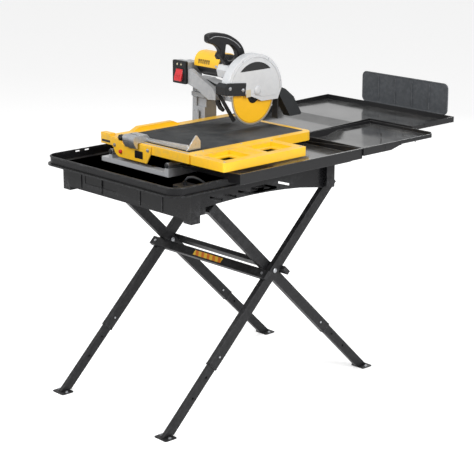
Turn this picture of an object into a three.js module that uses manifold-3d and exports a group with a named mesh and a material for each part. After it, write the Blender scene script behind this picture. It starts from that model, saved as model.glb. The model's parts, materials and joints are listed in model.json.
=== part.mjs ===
// Wet tile cutter on a folding stand. Millimetres, +Z up, +Y to the rear, +X to the operator's right.
// The model is laid out about the middle of the stand, and the root group then moves it so that the
// origin is the bottom centre of its box.
import * as THREE from "three";
import { mergeVertices } from "three/addons/utils/BufferGeometryUtils.js";
import Module from "manifold-3d";

const wasm = await Module();
wasm.setup();

// ---------------------------------------------------------------- driving dimensions
const TOUCH = 0.3; // gap between faces that rest on each other
const RUN = 0.3; // radial clearance of a turning or sliding fit

// Folding stand
const PIVOT_Z = 588;
const LEG_ANGLE = 44.6; // degrees from the floor
const SLEEVE = { thick: 25, deep: 46, wall: 2.5, below: 487 };
const LOWER = { thick: 19, deep: 40, wall: 2, overlap: 150 };
const LEG_SPREAD = 333; // half the distance between the planes where the frames pass each other
const FRAME_GAP = 3; // between outer and inner sleeves
const OUTER_TOP = 489; // from the pivot to the end of the outer top rail
const TOP_RAIL = 24.5; // thickness of a top rail along the leg
const HOLE_PITCH = 103;
const BUTTON_AT = 440; // below the pivot
const BUTTON_R = 4.7;
const BUTTON_PROUD = 3;
const FOOT = { x: 76, y: 62, thick: 5, round: 8, shift: 9 };
const CROSSBAR = { half: 372, deep: 40, thick: 20, wall: 2.5, below: 46 };
const PIVOT_BOLT_R = 6;

// Water pan
const RIM = { half: 422, front: -599, rear: 419, top: 1050, bottom: 1011, round: 55 };
const FLANGE = { out: 11, thick: 6 };
const PAN_WALL = 4;
const TUB = { half: 393, front: -512, rear: 296, bottom: 986 };
const SUMP = { half: 369, rear: -396, bottom: 905 };
const POST = { side: 47, half: 416, frontBottom: 890, rearBottom: 912 };
const SLOTS = { count: 6, first: -393, pitch: 75.4, long: 67, thick: 9, top: 982, drop: 20 };
const RIM_NOTCH = { wide: 24, deep: 12, at: [-430, -380] };
const SADDLE = { x: 200, thick: 14, long: 70 };

// Trays
const TRAY = { wall: 4, lip: 7, lipThick: 4, floor: 3 };
const SIDE_TRAY = { left: 165, right: 517, front: -345, rear: 365, top: 1085, slope: 0.0613 };
const CORNER_TRAY = { left: 126, rear: 835, step: 540, ramp: 70, stepUp: 17 };
const REAR_TRAY = { left: -430, right: 373, front: 412, rear: 1132, top: 1098, step: 720, ramp: 60, stepUp: 22 };
const BACKSPLASH = { left: -200, right: 325, thick: 6, tall: 140, foot: 12, leg: 18 };

// Carriage and rails
const RAIL = { left: -236, right: 130, r: 12, front: -392, rear: 362, top: 1074 };
const FRAME = { web: 24, rear: 262, cross: 40, crossTop: 1034 };
const ROLLER = { r: 12, wide: 16, pin: 4, at: [-200, 20] };
const CART = { left: -262, right: 275, front: -397, rear: 309, top: 1130, thick: 37, barEnd: -295 };
const CART_BAR = { side: 36, left: 48, front: 31, rear: 24, round: 42, deck: 6 };
const MAT = { thick: 9.7, groove: 6, grooveDeep: 7, slotX: -165, slotWide: 9, slotDeep: 5 };
const HUMP = { front: -232, rear: -44, tall: 17, ramp: 40 };
const EXTENSION = { right: 480, rear: 60, rodR: 5, rodsAt: [-320, -70], rodIn: 130 };
const FENCE = { left: -108, right: -34, tall: 30, plateX: 214, plateTall: 58, plateLong: 74 };
const FENCE_KNOB = { r: 14, wide: 22, stem: 4, lobes: 6 };
const PLATE = { left: -215, right: 43, bottom: 1052, thick: 6, hook: 30 };

// Cutting head
const BLADE = { x: 30, y: 182, z: 1264, r: 125, thick: 2.2 };
const ARBOR_R = 8;
const FLANGE_R = 30;
const GUARD = { y: 175, z: 1288, r: 163, left: 8, right: 52, wall: 3, tailIn: 26, tailZ: 1240, openBelow: 30 };
const FLAP = { across: [6, 48] };
const CURTAIN = { across: [12, 46], thick: 6, bottom: 1150 };
const COLUMN = { left: -360, right: -280, front: 180, rear: 250, top: 1298, foot: 14 };
const ARM = { end: -66, front: 160, rear: 235, topEnd: 1282, bottomEnd: 1226, bottom: 1250 };
const BRACE = { front: 100, rear: 121, right: -120, bottom: 1232, top: 1352 };
const QUADRANT = { in: 120, out: 190, from: 105, to: 150, thick: 8 };
const BRACKET = { in: 115, out: 196, from: 104, to: 160, thick: 8 };
const PLUNGE = { y: 300, z: 1342, r: 8 };
const MOTOR = { z: 1374, r: 52, left: -284, right: -60 };
const COVER = { r: 57, left: -288, right: -128 };
const CASE = { left: -60, right: 2, top: 1404, r: 40 };
const HANDLE = { x: -30, thick: 30, bar: 30 };
const SWITCH = { left: -390, right: -302, front: 88, deep: 40, bottom: 1284, top: 1385 };
const PUMP = { left: 285, right: 360, front: -500, rear: -425, top: 1028 };
const HOSE_R = 5;
const HOSE_UP = { x: -320, y: COLUMN.rear + HOSE_R + 6, top: 1268 }; // where it climbs behind the column

// ---------------------------------------------------------------- materials
const paint = (color, roughness, metalness = 0) =>
  new THREE.MeshStandardMaterial({ color, roughness, metalness });
const blackSteel = paint(0x232324, 0.55, 0.3);
const zinc = paint(0xb9bcc0, 0.35, 0.9);
const blackPlastic = paint(0x242425, 0.5);
const rubber = paint(0x2b2c2e, 0.85);
const casting = paint(0xbfc1c4, 0.5, 0.3);
const aluminium = paint(0xc8cacd, 0.35, 0.8);
const yellow = paint(0xf7c62c, 0.45);
const bladePaint = paint(0xf4bf2a, 0.4, 0.2);
const red = paint(0xd8232e, 0.4);
const greyPlastic = paint(0x5b5d61, 0.6);

// ---------------------------------------------------------------- solids
// A closed geometry as a solid that can be joined and cut.
function solid(geometry) {
  const bare = geometry.index ? geometry.toNonIndexed() : geometry.clone();
  bare.deleteAttribute("normal");
  bare.deleteAttribute("uv");
  const merged = mergeVertices(bare, 1e-4);
  const vertProperties = new Float32Array(merged.attributes.position.array);
  const triVerts = new Uint32Array(merged.index.array);
  return new wasm.Manifold(new wasm.Mesh({ numProp: 3, vertProperties, triVerts }));
}

const middle = ([low, high]) => (low + high) / 2;
const length = ([low, high]) => high - low;
const about = (centre, size) => [centre - size / 2, centre + size / 2];

// A box from its low and high limits along each axis.
function block(x, y, z) {
  const geometry = new THREE.BoxGeometry(length(x), length(y), length(z));
  geometry.translate(middle(x), middle(y), middle(z));
  return solid(geometry);
}

// Axes that a flat outline (a, b) lies in, and the way it is pushed out.
const PLANES = {
  x: new THREE.Matrix4().makeBasis(axis(0, 1, 0), axis(0, 0, 1), axis(1, 0, 0)),
  y: new THREE.Matrix4().makeBasis(axis(1, 0, 0), axis(0, 0, 1), axis(0, -1, 0)),
  z: new THREE.Matrix4(),
};

function axis(x, y, z) {
  return new THREE.Vector3(x, y, z);
}

// A shape, or a list of corners, pushed out along an axis between two limits.
function prism(along, outline, span, curveSegments = 6) {
  const shape = Array.isArray(outline)
    ? new THREE.Shape(outline.map(([a, b]) => new THREE.Vector2(a, b)))
    : outline;
  const options = { depth: length(span), bevelEnabled: false, curveSegments };
  const geometry = new THREE.ExtrudeGeometry(shape, options).applyMatrix4(PLANES[along]);
  const start = along === "y" ? span[1] : span[0];
  const move = { x: 0, y: 0, z: 0, [along]: start };
  geometry.translate(move.x, move.y, move.z);
  return solid(geometry);
}

// A body of revolution: a profile of [radius, distance along the axis], from axis to axis.
function turned(along, profile, [a, b], sides = 24) {
  const points = profile.map(([r, t]) => new THREE.Vector2(r, t));
  const geometry = new THREE.LatheGeometry(points, sides);
  if (along === "x") geometry.rotateZ(-Math.PI / 2).translate(0, a, b);
  if (along === "y") geometry.rotateX(0).translate(a, 0, b);
  if (along === "z") geometry.rotateX(Math.PI / 2).translate(a, b, 0);
  return solid(geometry);
}

function rod(along, r, [from, to], at, sides = 24) {
  return turned(along, [[0, from], [r, from], [r, to], [0, to]], at, sides);
}

// A rectangle with round corners.
function rounded([x0, x1], [y0, y1], r) {
  const shape = new THREE.Shape();
  shape.absarc(x1 - r, y0 + r, r, -Math.PI / 2, 0);
  shape.absarc(x1 - r, y1 - r, r, 0, Math.PI / 2);
  shape.absarc(x0 + r, y1 - r, r, Math.PI / 2, Math.PI);
  shape.absarc(x0 + r, y0 + r, r, Math.PI, 1.5 * Math.PI);
  return shape;
}

const join = (first, ...rest) => rest.reduce((whole, piece) => whole.add(piece), first);
const cut = (whole, ...tools) => tools.reduce((left, tool) => left.subtract(tool), whole);

// Adds a solid to a group as a named mesh.
function add(group, name, body, material) {
  const made = body.getMesh();
  const geometry = new THREE.BufferGeometry();
  geometry.setAttribute("position", new THREE.BufferAttribute(made.vertProperties, 3));
  geometry.setIndex(new THREE.BufferAttribute(made.triVerts, 1));
  geometry.computeVertexNormals();
  const mesh = new THREE.Mesh(geometry, material);
  mesh.name = name;
  group.add(mesh);
  return mesh;
}

const object = new THREE.Group();

// ---------------------------------------------------------------- stand
// Each leg is drawn in its own frame: Y along the leg towards its top, Z square to it, origin at the pivot.
// The outer frame leans back and the inner frame leans forward.
const slant = THREE.MathUtils.degToRad(LEG_ANGLE);
const outerX = LEG_SPREAD + FRAME_GAP / 2 + SLEEVE.thick / 2;
const innerX = LEG_SPREAD - FRAME_GAP / 2 - SLEEVE.thick / 2;
const outerEnd = OUTER_TOP - TOP_RAIL;
const innerTop = Math.sqrt(outerEnd ** 2 - (SLEEVE.deep / 2) ** 2) - 2.5;

function legGroup(lean) {
  const group = new THREE.Group();
  group.position.z = PIVOT_Z;
  group.rotation.x = lean > 0 ? slant : Math.PI - slant;
  object.add(group);
  return group;
}

function tube(x, thick, deep, wall, span) {
  const outside = block(about(x, thick), span, about(0, deep));
  const ends = [span[0] - 1, span[1] + 1];
  return cut(outside, block(about(x, thick - 2 * wall), ends, about(0, deep - 2 * wall)));
}

// Where a line at distance n from the middle of a leg meets the top of the foot plate.
function footPoint(n, lean) {
  const height = FOOT.thick + TOUCH - PIVOT_Z;
  return (height - lean * n * Math.cos(slant)) / Math.sin(slant);
}

function lowerLeg(x, lean) {
  const top = -SLEEVE.below + LOWER.overlap;
  const outline = (half, reach) => [
    [footPoint(-half, lean) - reach, -half],
    [top + reach, -half],
    [top + reach, half],
    [footPoint(half, lean) - reach, half],
  ];
  const half = LOWER.deep / 2;
  const outside = prism("x", outline(half, 0), about(x, LOWER.thick));
  const hollow = prism("x", outline(half - LOWER.wall, 5), about(x, LOWER.thick - 2 * LOWER.wall));
  const holes = [0, 1, 2].map((i) =>
    rod("x", BUTTON_R + 2 * RUN, [x, x + LOWER.thick], [-BUTTON_AT - i * HOLE_PITCH, 0], 16));
  return cut(outside, hollow, ...holes);
}

function footPlate(x, lean) {
  const middleY = lean * (footPoint(0, lean) * Math.cos(slant) - FOOT.shift);
  return prism("z", rounded(about(x, FOOT.x), about(middleY, FOOT.y), FOOT.round), [0, FOOT.thick], 4);
}

function snapButton(x) {
  const face = x + SLEEVE.thick / 2;
  const inner = face - SLEEVE.wall + 0.2;
  const profile = [[0, inner], [BUTTON_R, inner], [BUTTON_R, face + BUTTON_PROUD - 1.5],
    [BUTTON_R - 1.6, face + BUTTON_PROUD], [0, face + BUTTON_PROUD]];
  return turned("x", profile, [-BUTTON_AT, 0], 16);
}

function crossbar(lean) {
  const along = [-CROSSBAR.below - CROSSBAR.deep / 2, -CROSSBAR.below + CROSSBAR.deep / 2];
  const near = SLEEVE.deep / 2 + TOUCH;
  const up = (n) => lean * n;
  const span = [up(near), up(near + CROSSBAR.thick)].sort((a, b) => a - b);
  const inside = [span[0] + CROSSBAR.wall, span[1] - CROSSBAR.wall];
  const insideAlong = [along[0] + CROSSBAR.wall, along[1] - CROSSBAR.wall];
  const outer = block([-CROSSBAR.half, CROSSBAR.half], along, span);
  return cut(outer, block([-CROSSBAR.half - 1, CROSSBAR.half + 1], insideAlong, inside));
}

function topRail(half, along) {
  const outside = block([-half, half], along, about(0, SLEEVE.deep));
  const bore = about(0, SLEEVE.deep - 2 * SLEEVE.wall);
  return cut(outside, block([-half - 1, half + 1], [along[0] + SLEEVE.wall, along[1] - SLEEVE.wall], bore));
}

function pivotBolt(side) {
  const out = outerX + SLEEVE.thick / 2 + TOUCH;
  const inside = innerX - SLEEVE.thick / 2 - TOUCH;
  const collar = FRAME_GAP / 2 - TOUCH;
  const profile = [[0, out + 5], [7, out + 5], [10, out + 3], [10, out], [PIVOT_BOLT_R, out],
    [PIVOT_BOLT_R, LEG_SPREAD + collar], [12, LEG_SPREAD + collar], [12, LEG_SPREAD - collar],
    [PIVOT_BOLT_R, LEG_SPREAD - collar], [PIVOT_BOLT_R, inside], [10, inside], [10, inside - 8],
    [0, inside - 8]];
  const placed = side > 0 ? profile.slice().reverse() : profile.map(([r, t]) => [r, -t]);
  return turned("x", placed, [0, 0], 20);
}

function buildFrame(which, lean, x, top) {
  const group = legGroup(lean);
  for (const [side, sign] of [["left", -1], ["right", 1]]) {
    const at = sign * x;
    const sleeve = cut(
      tube(at, SLEEVE.thick, SLEEVE.deep, SLEEVE.wall, [-SLEEVE.below, top]),
      rod("x", PIVOT_BOLT_R + RUN, about(at, 2 * SLEEVE.thick), [0, 0], 20),
      rod("x", BUTTON_R + RUN, [at, at + SLEEVE.thick], [-BUTTON_AT, 0], 16),
    );
    add(group, `${which}_leg_${side}`, sleeve, blackSteel);
    add(group, `${which}_lower_leg_${side}`, lowerLeg(at, lean), blackSteel);
    add(group, `${which}_snap_button_${side}`, snapButton(at), zinc);
    add(object, `${which}_foot_${side}`, footPlate(at, lean), blackSteel);
  }
  add(group, `${which}_crossbar`, crossbar(lean), blackSteel);
  const half = x + SLEEVE.thick / 2;
  add(group, `${which}_top_rail`, topRail(half, [top + TOUCH, top + TOP_RAIL]), blackSteel);
  return group;
}

const outerGroup = buildFrame("outer", 1, outerX, outerEnd);
buildFrame("inner", -1, innerX, innerTop - TOP_RAIL);
add(outerGroup, "pivot_bolt_left", pivotBolt(-1), zinc);
add(outerGroup, "pivot_bolt_right", pivotBolt(1), zinc);

// Highest edge of a top rail, where the pan sits on it.
function railEdge(top, lean) {
  const n = SLEEVE.deep / 2;
  return {
    y: lean * (top * Math.cos(slant) - n * Math.sin(slant)),
    z: PIVOT_Z + top * Math.sin(slant) + n * Math.cos(slant),
  };
}

// ---------------------------------------------------------------- water pan
const rimX = [-RIM.half, RIM.half];
const rimY = [RIM.front, RIM.rear];
const grow = ([low, high], by) => [low - by, high + by];

function skirt(side) {
  const front = TUB.front + POST.side - 1;
  const rear = TUB.rear - POST.side + 1;
  const arch = new THREE.Shape([
    new THREE.Vector2(front, RIM.bottom + 1),
    new THREE.Vector2(front, 938),
    new THREE.Vector2(-348, 946),
  ]);
  arch.quadraticCurveTo(-110, 958, 110, 934);
  arch.lineTo(rear, POST.rearBottom);
  arch.lineTo(rear, RIM.bottom + 1);
  const face = side * TUB.half;
  const span = [face, face - side * PAN_WALL].sort((a, b) => a - b);
  const panel = prism("x", arch, span, 5);
  const slots = Array.from({ length: SLOTS.count }, (_, i) => {
    const y = SLOTS.first + i * SLOTS.pitch;
    const end = y + SLOTS.long;
    const low = SLOTS.top - SLOTS.drop;
    const corners = [[y, SLOTS.top], [end, low], [end, low - SLOTS.thick], [y, SLOTS.top - SLOTS.thick]];
    return prism("x", corners, grow(span, 5));
  });
  return cut(panel, ...slots);
}

function post(side, yEdge, inward, bottom) {
  const x = [side * POST.half, side * (POST.half - POST.side)].sort((a, b) => a - b);
  const y = [yEdge, yEdge + inward * POST.side].sort((a, b) => a - b);
  const outer = block(x, y, [bottom, RIM.bottom + 1]);
  return cut(outer, block(grow(x, -PAN_WALL), grow(y, -PAN_WALL), [bottom - 1, TUB.bottom - 4]));
}

// A rib under the tub floor that rests on a top rail: notched over the rear one, flat on the front one.
function saddle(side, edge, notched) {
  const span = about(side * SADDLE.x, SADDLE.thick);
  const top = (notched ? RIM.bottom : TUB.bottom) + 1;
  const [y0, y1] = about(edge.y, SADDLE.long);
  if (!notched) return block(span, [y0, y1], [edge.z + TOUCH, top]);
  const lift = TOUCH / Math.cos(Math.PI / 4);
  const drop = 16;
  const run = drop / Math.tan(slant);
  const rise = drop * Math.tan(slant);
  const corners = [[y0, top], [y0, edge.z - drop], [edge.y - run, edge.z - drop + lift],
    [edge.y, edge.z + lift], [edge.y + rise, edge.z - drop + lift], [y1, edge.z - drop], [y1, top]];
  return prism("x", corners, span);
}

function waterPan() {
  const tubX = [-TUB.half, TUB.half];
  const sumpX = [-SUMP.half, SUMP.half];
  const floor = TUB.bottom + PAN_WALL;
  const outer = join(
    prism("z", rounded(rimX, rimY, RIM.round), [RIM.bottom, RIM.top]),
    prism("z", rounded(grow(rimX, FLANGE.out), grow(rimY, FLANGE.out), RIM.round + FLANGE.out),
      [RIM.bottom, RIM.bottom + FLANGE.thick]),
    block(tubX, [TUB.front, TUB.rear], [TUB.bottom, RIM.bottom + 1]),
    block(sumpX, [TUB.front, SUMP.rear], [SUMP.bottom, TUB.bottom + 1]),
    block(sumpX, [TUB.rear - PAN_WALL, TUB.rear], [railEdge(OUTER_TOP, 1).z + PAN_WALL, TUB.bottom + 1]),
  );
  const feet = [-1, 1].flatMap((side) => [
    post(side, TUB.front, 1, POST.frontBottom),
    post(side, TUB.rear, -1, POST.rearBottom),
    skirt(side),
    saddle(side, railEdge(OUTER_TOP, 1), true),
    saddle(side, railEdge(innerTop, -1), false),
  ]);
  const notches = RIM_NOTCH.at.map((y) =>
    block([-RIM.half - 5, -RIM.half + PAN_WALL + 5], about(y, RIM_NOTCH.wide), [RIM.top - RIM_NOTCH.deep, RIM.top + 5]));
  const drain = rod("z", 14, [SUMP.bottom - 1, SUMP.bottom + PAN_WALL + 1], DRAIN, 20);
  return cut(
    join(outer, ...feet),
    prism("z", rounded(grow(rimX, -PAN_WALL), grow(rimY, -PAN_WALL), RIM.round - PAN_WALL),
      [RIM.bottom + PAN_WALL, RIM.top + 1]),
    block(grow(tubX, -PAN_WALL), [TUB.front + PAN_WALL, TUB.rear - PAN_WALL], [floor, RIM.top]),
    block(grow(sumpX, -PAN_WALL), [TUB.front + PAN_WALL, SUMP.rear - PAN_WALL], [SUMP.bottom + PAN_WALL, RIM.top]),
    block([-262, -52], [TUB.front - 1, TUB.front + 1.6], [938, 985]),
    drain,
    ...notches,
  );
}

const DRAIN = [-250, -455];
add(object, "water_pan", waterPan(), blackPlastic);

const plugTop = SUMP.bottom + PAN_WALL + TOUCH;
const plugProfile = [[0, SUMP.bottom - 12], [11, SUMP.bottom - 12], [13.6, SUMP.bottom - 4],
  [13.6, plugTop], [18, plugTop], [18, plugTop + 5], [6, plugTop + 9], [0, plugTop + 9]];
add(object, "drain_plug", turned("z", plugProfile, DRAIN, 20), rubber);

// ---------------------------------------------------------------- trays
const trayFloor = RIM.top + TOUCH;

// Side tray: its floor is flat over the rim of the pan, its rim falls towards the saw, and its inner
// end is open so that water runs back.
function sideTray() {
  const t = SIDE_TRAY;
  const topAt = (x) => t.top - (t.right - x) * t.slope;
  const section = (x0, x1, lift, low) =>
    [[x0, low], [x1, low], [x1, topAt(x1) + lift], [x0, topAt(x0) + lift]];
  const y = [t.front, t.rear - TOUCH];
  const body = prism("y", section(t.left, t.right - TRAY.lip, 0, trayFloor), y);
  const lip = prism("y", section(t.left, t.right, 0, trayFloor), [y[0], y[1]]);
  const underLip = join(
    prism("y", section(t.left - 1, t.right + 1, -TRAY.lipThick, trayFloor - 1), [y[0] - 1, y[0] + TRAY.lip]),
    prism("y", section(t.right - TRAY.lip, t.right + 1, -TRAY.lipThick, trayFloor - 1), [y[0] - 1, y[1] + 1]),
  );
  const hollowX = [t.left - 1, t.right - TRAY.lip - TRAY.wall];
  const hollowY = [y[0] + TRAY.lip + TRAY.wall, y[1] - TRAY.wall];
  const hollow = block(hollowX, hollowY, [trayFloor + TRAY.floor, t.top + 1]);
  const skirtX = [RIM.half + FLANGE.out + 6, t.right - TRAY.lip];
  const under = block(skirtX, [y[0] + TRAY.lip, y[1]], [trayFloor - 12, trayFloor + 1]);
  const underHollow = block(grow(skirtX, -TRAY.wall), grow([y[0] + TRAY.lip, y[1]], -TRAY.wall),
    [trayFloor - 13, trayFloor - 3]);
  return join(cut(join(body, lip), underLip, hollow), cut(under, underHollow));
}

// Profile of a tray floor that steps up towards the rear: [y, z] corners of its underside.
function steppedFloor(front, rear, { step, ramp, stepUp }) {
  return [[front, 0], [step, 0], [step + ramp, stepUp], [rear, stepUp]];
}

function steppedTray(x, y, rimFront, rimRear, steps, outline) {
  const floor = steppedFloor(y[0], y[1], steps);
  const under = floor.map(([a, b]) => [a, trayFloor + b]);
  const above = floor.map(([a, b]) => [a, trayFloor + b + TRAY.floor]).reverse();
  const rim = [[y[1], rimRear], [y[0], rimFront]];
  const shell = outline(0).intersect(prism("x", [...under, ...rim], x));
  above[0][0] += 1;
  above[above.length - 1][0] -= 1;
  const room = prism("x", [[y[0] - 1, rimFront + 40], ...above.slice().reverse(), [y[1] + 1, rimRear + 40]], grow(x, 1));
  return cut(shell, outline(-TRAY.wall).intersect(room));
}

function cornerTray() {
  const t = CORNER_TRAY;
  const x = [t.left, SIDE_TRAY.right];
  const y = [SIDE_TRAY.rear, t.rear];
  const outline = (by) => prism("z", [
    [x[0] - by, y[0] - by], [x[1] + by, y[0] - by], [x[1] + by, y[1] + by - 30],
    [x[1] + by - 30, y[1] + by], [x[0] - by, y[1] + by]], [trayFloor - 10, SIDE_TRAY.top + 50]);
  return steppedTray(x, y, SIDE_TRAY.top, SIDE_TRAY.top, t, outline);
}

function rearTray() {
  const t = REAR_TRAY;
  const notchX = CORNER_TRAY.left - 11;
  const notchY = CORNER_TRAY.rear + 6;
  const x = [t.left, t.right];
  const y = [t.front, t.rear];
  const outline = (by) => prism("z", [
    [x[0] - by, y[0] - (by ? 40 : 0)], [notchX + by, y[0] - (by ? 40 : 0)], [notchX + by, notchY - by],
    [x[1] + by, notchY - by], [x[1] + by, y[1] + by], [x[0] - by, y[1] + by]],
    [trayFloor - 10, t.top + 50]);
  return steppedTray(x, y, SIDE_TRAY.top - 4, t.top, t, outline);
}

add(object, "side_tray", sideTray(), blackPlastic);
add(object, "corner_tray", cornerTray(), blackPlastic);

// The backsplash stands in a slot in the rear rim of the rear tray, on two feet.
const splashFeet = () => [BACKSPLASH.left + 60, BACKSPLASH.right - 60];

function backsplash() {
  const b = BACKSPLASH;
  const y = about(REAR_TRAY.rear + b.thick / 2 + 3, b.thick);
  const bottom = REAR_TRAY.top + TOUCH;
  const panel = prism("y", rounded([b.left, b.right], [bottom, bottom + b.tall], 22), y, 4);
  const legs = splashFeet().map((at) => block(about(at, b.leg), y, [bottom - b.foot - 20, bottom + 20]));
  return join(panel, ...legs);
}

function splashSocket() {
  const b = BACKSPLASH;
  const y = about(REAR_TRAY.rear + b.thick / 2 + 3, b.thick);
  const sockets = splashFeet().map((at) => {
    const x = about(at, b.leg);
    const z = [REAR_TRAY.top - b.foot - 24, REAR_TRAY.top];
    const outer = block(grow(x, 4), [REAR_TRAY.rear - 1, y[1] + 4], z);
    return cut(outer, block(grow(x, 2 * RUN), grow(y, 2 * RUN), [z[0] + 3, z[1] + 1]));
  });
  return join(...sockets);
}

add(object, "rear_tray", join(rearTray(), splashSocket()), blackPlastic);
add(object, "backsplash", backsplash(), greyPlastic);

// ---------------------------------------------------------------- base frame, rails and column
const railZ = RAIL.top - RAIL.r;
const seatZ = TUB.bottom + PAN_WALL + TOUCH;
const webTop = railZ - RAIL.r - TOUCH;

function baseFrame() {
  const webs = [RAIL.left, RAIL.right].map((x) =>
    block(about(x, FRAME.web), [RAIL.front - 3, FRAME.rear], [seatZ, webTop]));
  const crossX = [RAIL.left - 60, RAIL.right + 1];
  const crosses = [RAIL.front - 3, -60, FRAME.rear - FRAME.cross].map((y) =>
    block(crossX, [y, y + FRAME.cross], [seatZ, FRAME.crossTop]));
  const pad = block([COLUMN.left - 10, RAIL.left], grow([COLUMN.front, COLUMN.rear], 10), [seatZ, webTop]);
  return join(...webs, ...crosses, pad);
}

add(object, "base_frame", baseFrame(), aluminium);
for (const side of ["left", "right"]) {
  add(object, `rail_${side}`, rod("y", RAIL.r, [RAIL.front, RAIL.rear], [RAIL[side], railZ], 20), aluminium);
}

function column() {
  const { left, right, front, rear, top, foot } = COLUMN;
  const bottom = webTop + TOUCH;
  const flare = [[left - foot / 2, bottom], [right + foot, bottom], [right + foot, bottom + 14],
    [right, bottom + 70], [right, top], [left, top], [left - foot / 2, bottom + 40]];
  const shaft = prism("y", flare, [front, rear]);
  const step = block([left + 24, right + 1], [front - 1, front + 9], [1172, 1214]);
  const band = block([left - 5, right + 5], [front - 5, rear + 5], [1216, 1236]);
  const junctionY = [SWITCH.front + SWITCH.deep + TOUCH, front + 1];
  const junction = block([SWITCH.left + 6, SWITCH.right], junctionY, [SWITCH.bottom + 6, top]);
  const lid = block([SWITCH.left + 6, SWITCH.right], [junctionY[0], front + 4], [top - 1, SWITCH.top - 8]);
  const fitting = block(about(HOSE_UP.x, 22), [rear - 1, HOSE_UP.y + HOSE_R + 4], [HOSE_UP.top + TOUCH, HOSE_UP.top + 22]);
  return join(cut(shaft, step), band, junction, lid, fitting);
}

// A slanted casting from beside the switch down to the front of the arm.
function brace() {
  const left = SWITCH.right + TOUCH;
  const { right, bottom, top } = BRACE;
  const outline = [[left, top - 68], [left + 62, bottom + 36], [right - 50, bottom], [right, bottom + 4],
    [right, bottom + 30], [right - 20, bottom + 56], [left + 17, top], [left, top]];
  const plate = prism("y", outline, [BRACE.front, BRACE.rear]);
  const foot = block([right - 48, right - 4], [BRACE.rear - 1, ARM.front + 1], [bottom + 2, bottom + 32]);
  return join(plate, foot);
}

function arm() {
  const { left, right, top } = COLUMN;
  const { end, front, rear, topEnd, bottomEnd, bottom } = ARM;
  const outline = [[right + TOUCH, bottom], [right + 120, bottomEnd], [end, bottomEnd], [end, topEnd],
    [right + 70, top - 4], [right + TOUCH, top + 4]];
  const beam = prism("y", outline, [front, rear]);
  const web = block([right + 20, end - 30], [front - 1, front + 8], [bottomEnd + 18, topEnd - 18]);
  const cap = block([left + 8, right + 2], [COLUMN.front + 6, COLUMN.rear - 6], [top + TOUCH, top + 4]);
  return join(cut(beam, web), cap, sector(QUADRANT, ARM.rear - 0.5), brace());
}

// A sector of a ring around the line where the blade meets the table.
function sector({ in: inner, out: outer, from, to, thick }, y0) {
  const centre = [BLADE.x, CART.top];
  const [a, b] = [from, to].map(THREE.MathUtils.degToRad);
  const shape = new THREE.Shape();
  shape.absarc(...centre, outer, a, b, false);
  shape.absarc(...centre, inner, b, a, true);
  return prism("y", shape, [y0, y0 + thick], 14);
}

const bracketY = ARM.rear + QUADRANT.thick + TOUCH;
add(object, "column", column(), casting);
add(object, "arm", arm(), casting);

// ---------------------------------------------------------------- switch, pump and hose
const switchX = [SWITCH.left, SWITCH.right];
const switchY = [SWITCH.front, SWITCH.front + SWITCH.deep];

function switchBox() {
  const shell = prism("y", rounded(switchX, [SWITCH.bottom, SWITCH.top], 12), switchY, 4);
  const recess = block(grow(switchX, -20), [SWITCH.front - 1, SWITCH.front + 12], [SWITCH.bottom + 8, SWITCH.bottom + 66]);
  const lamps = [-13, 13].map((dx) =>
    rod("y", 6, [SWITCH.front - 1, SWITCH.front + 3], [middle(switchX) + dx, SWITCH.top - 16], 16));
  return cut(shell, recess, ...lamps);
}

const paddleHinge = { y: SWITCH.front + 6, z: SWITCH.bottom + 60 };

function switchPaddle() {
  const x = grow(switchX, -20.5);
  const z = SWITCH.bottom;
  const { y: hy, z: hz } = paddleHinge;
  const outline = [[hy + 4, hz + 4], [hy - 4, hz + 4], [hy - 18, z + 30], [hy - 20, z + 12],
    [hy - 12, z + 10], [hy - 8, z + 24], [hy + 4, hz - 10]];
  return prism("x", outline, x);
}

add(object, "switch_box", switchBox(), blackPlastic);
add(object, "switch_paddle", switchPaddle(), red);

function pump() {
  const z = [SUMP.bottom + PAN_WALL + TOUCH, PUMP.top];
  const x = [PUMP.left, PUMP.right];
  const y = [PUMP.front, PUMP.rear];
  const body = prism("z", rounded(x, y, 14), z, 4);
  const grille = Array.from({ length: 4 }, (_, i) =>
    block(grow(x, -16), [y[0] - 1, y[0] + 4], about(z[0] + 24 + i * 14, 6)));
  return cut(join(body, rod("z", 9, [z[1] - 1, z[1] + 14], PUMP_OUTLET, 16)), ...grille);
}

const PUMP_OUTLET = [322, -462];
add(object, "pump", pump(), blackPlastic);

const hoseTop = PUMP.top + 14 + TOUCH;
const hoseFloor = seatZ + HOSE_R + 1;
const hosePoints = [
  [PUMP_OUTLET[0], PUMP_OUTLET[1], hoseTop], [PUMP_OUTLET[0], PUMP_OUTLET[1], hoseTop + 9], [334, -440, 1058],
  [354, -412, 1046], [362, -384, 1022], [364, -350, hoseFloor + 6], [364, -290, hoseFloor], [364, -180, hoseFloor], [364, 0, hoseFloor],
  [364, 150, hoseFloor], [356, 234, hoseFloor], [318, 272, hoseFloor], [250, 278, hoseFloor],
  [0, 278, hoseFloor], [-230, 278, hoseFloor], [-292, 277, hoseFloor + 6], [-316, 274, 1030],
  [HOSE_UP.x, HOSE_UP.y, 1075], [HOSE_UP.x, HOSE_UP.y, 1160], [HOSE_UP.x, HOSE_UP.y, 1240],
  [HOSE_UP.x, HOSE_UP.y, HOSE_UP.top],
];

function hose() {
  const path = new THREE.CatmullRomCurve3(hosePoints.map((p) => axis(...p)), false, "centripetal");
  const section = new THREE.Shape();
  section.absarc(0, 0, HOSE_R, 0, 2 * Math.PI);
  const options = { steps: 76, extrudePath: path, curveSegments: 8, bevelEnabled: false };
  return solid(new THREE.ExtrudeGeometry(section, options));
}

add(object, "water_hose", hose(), rubber);

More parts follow.
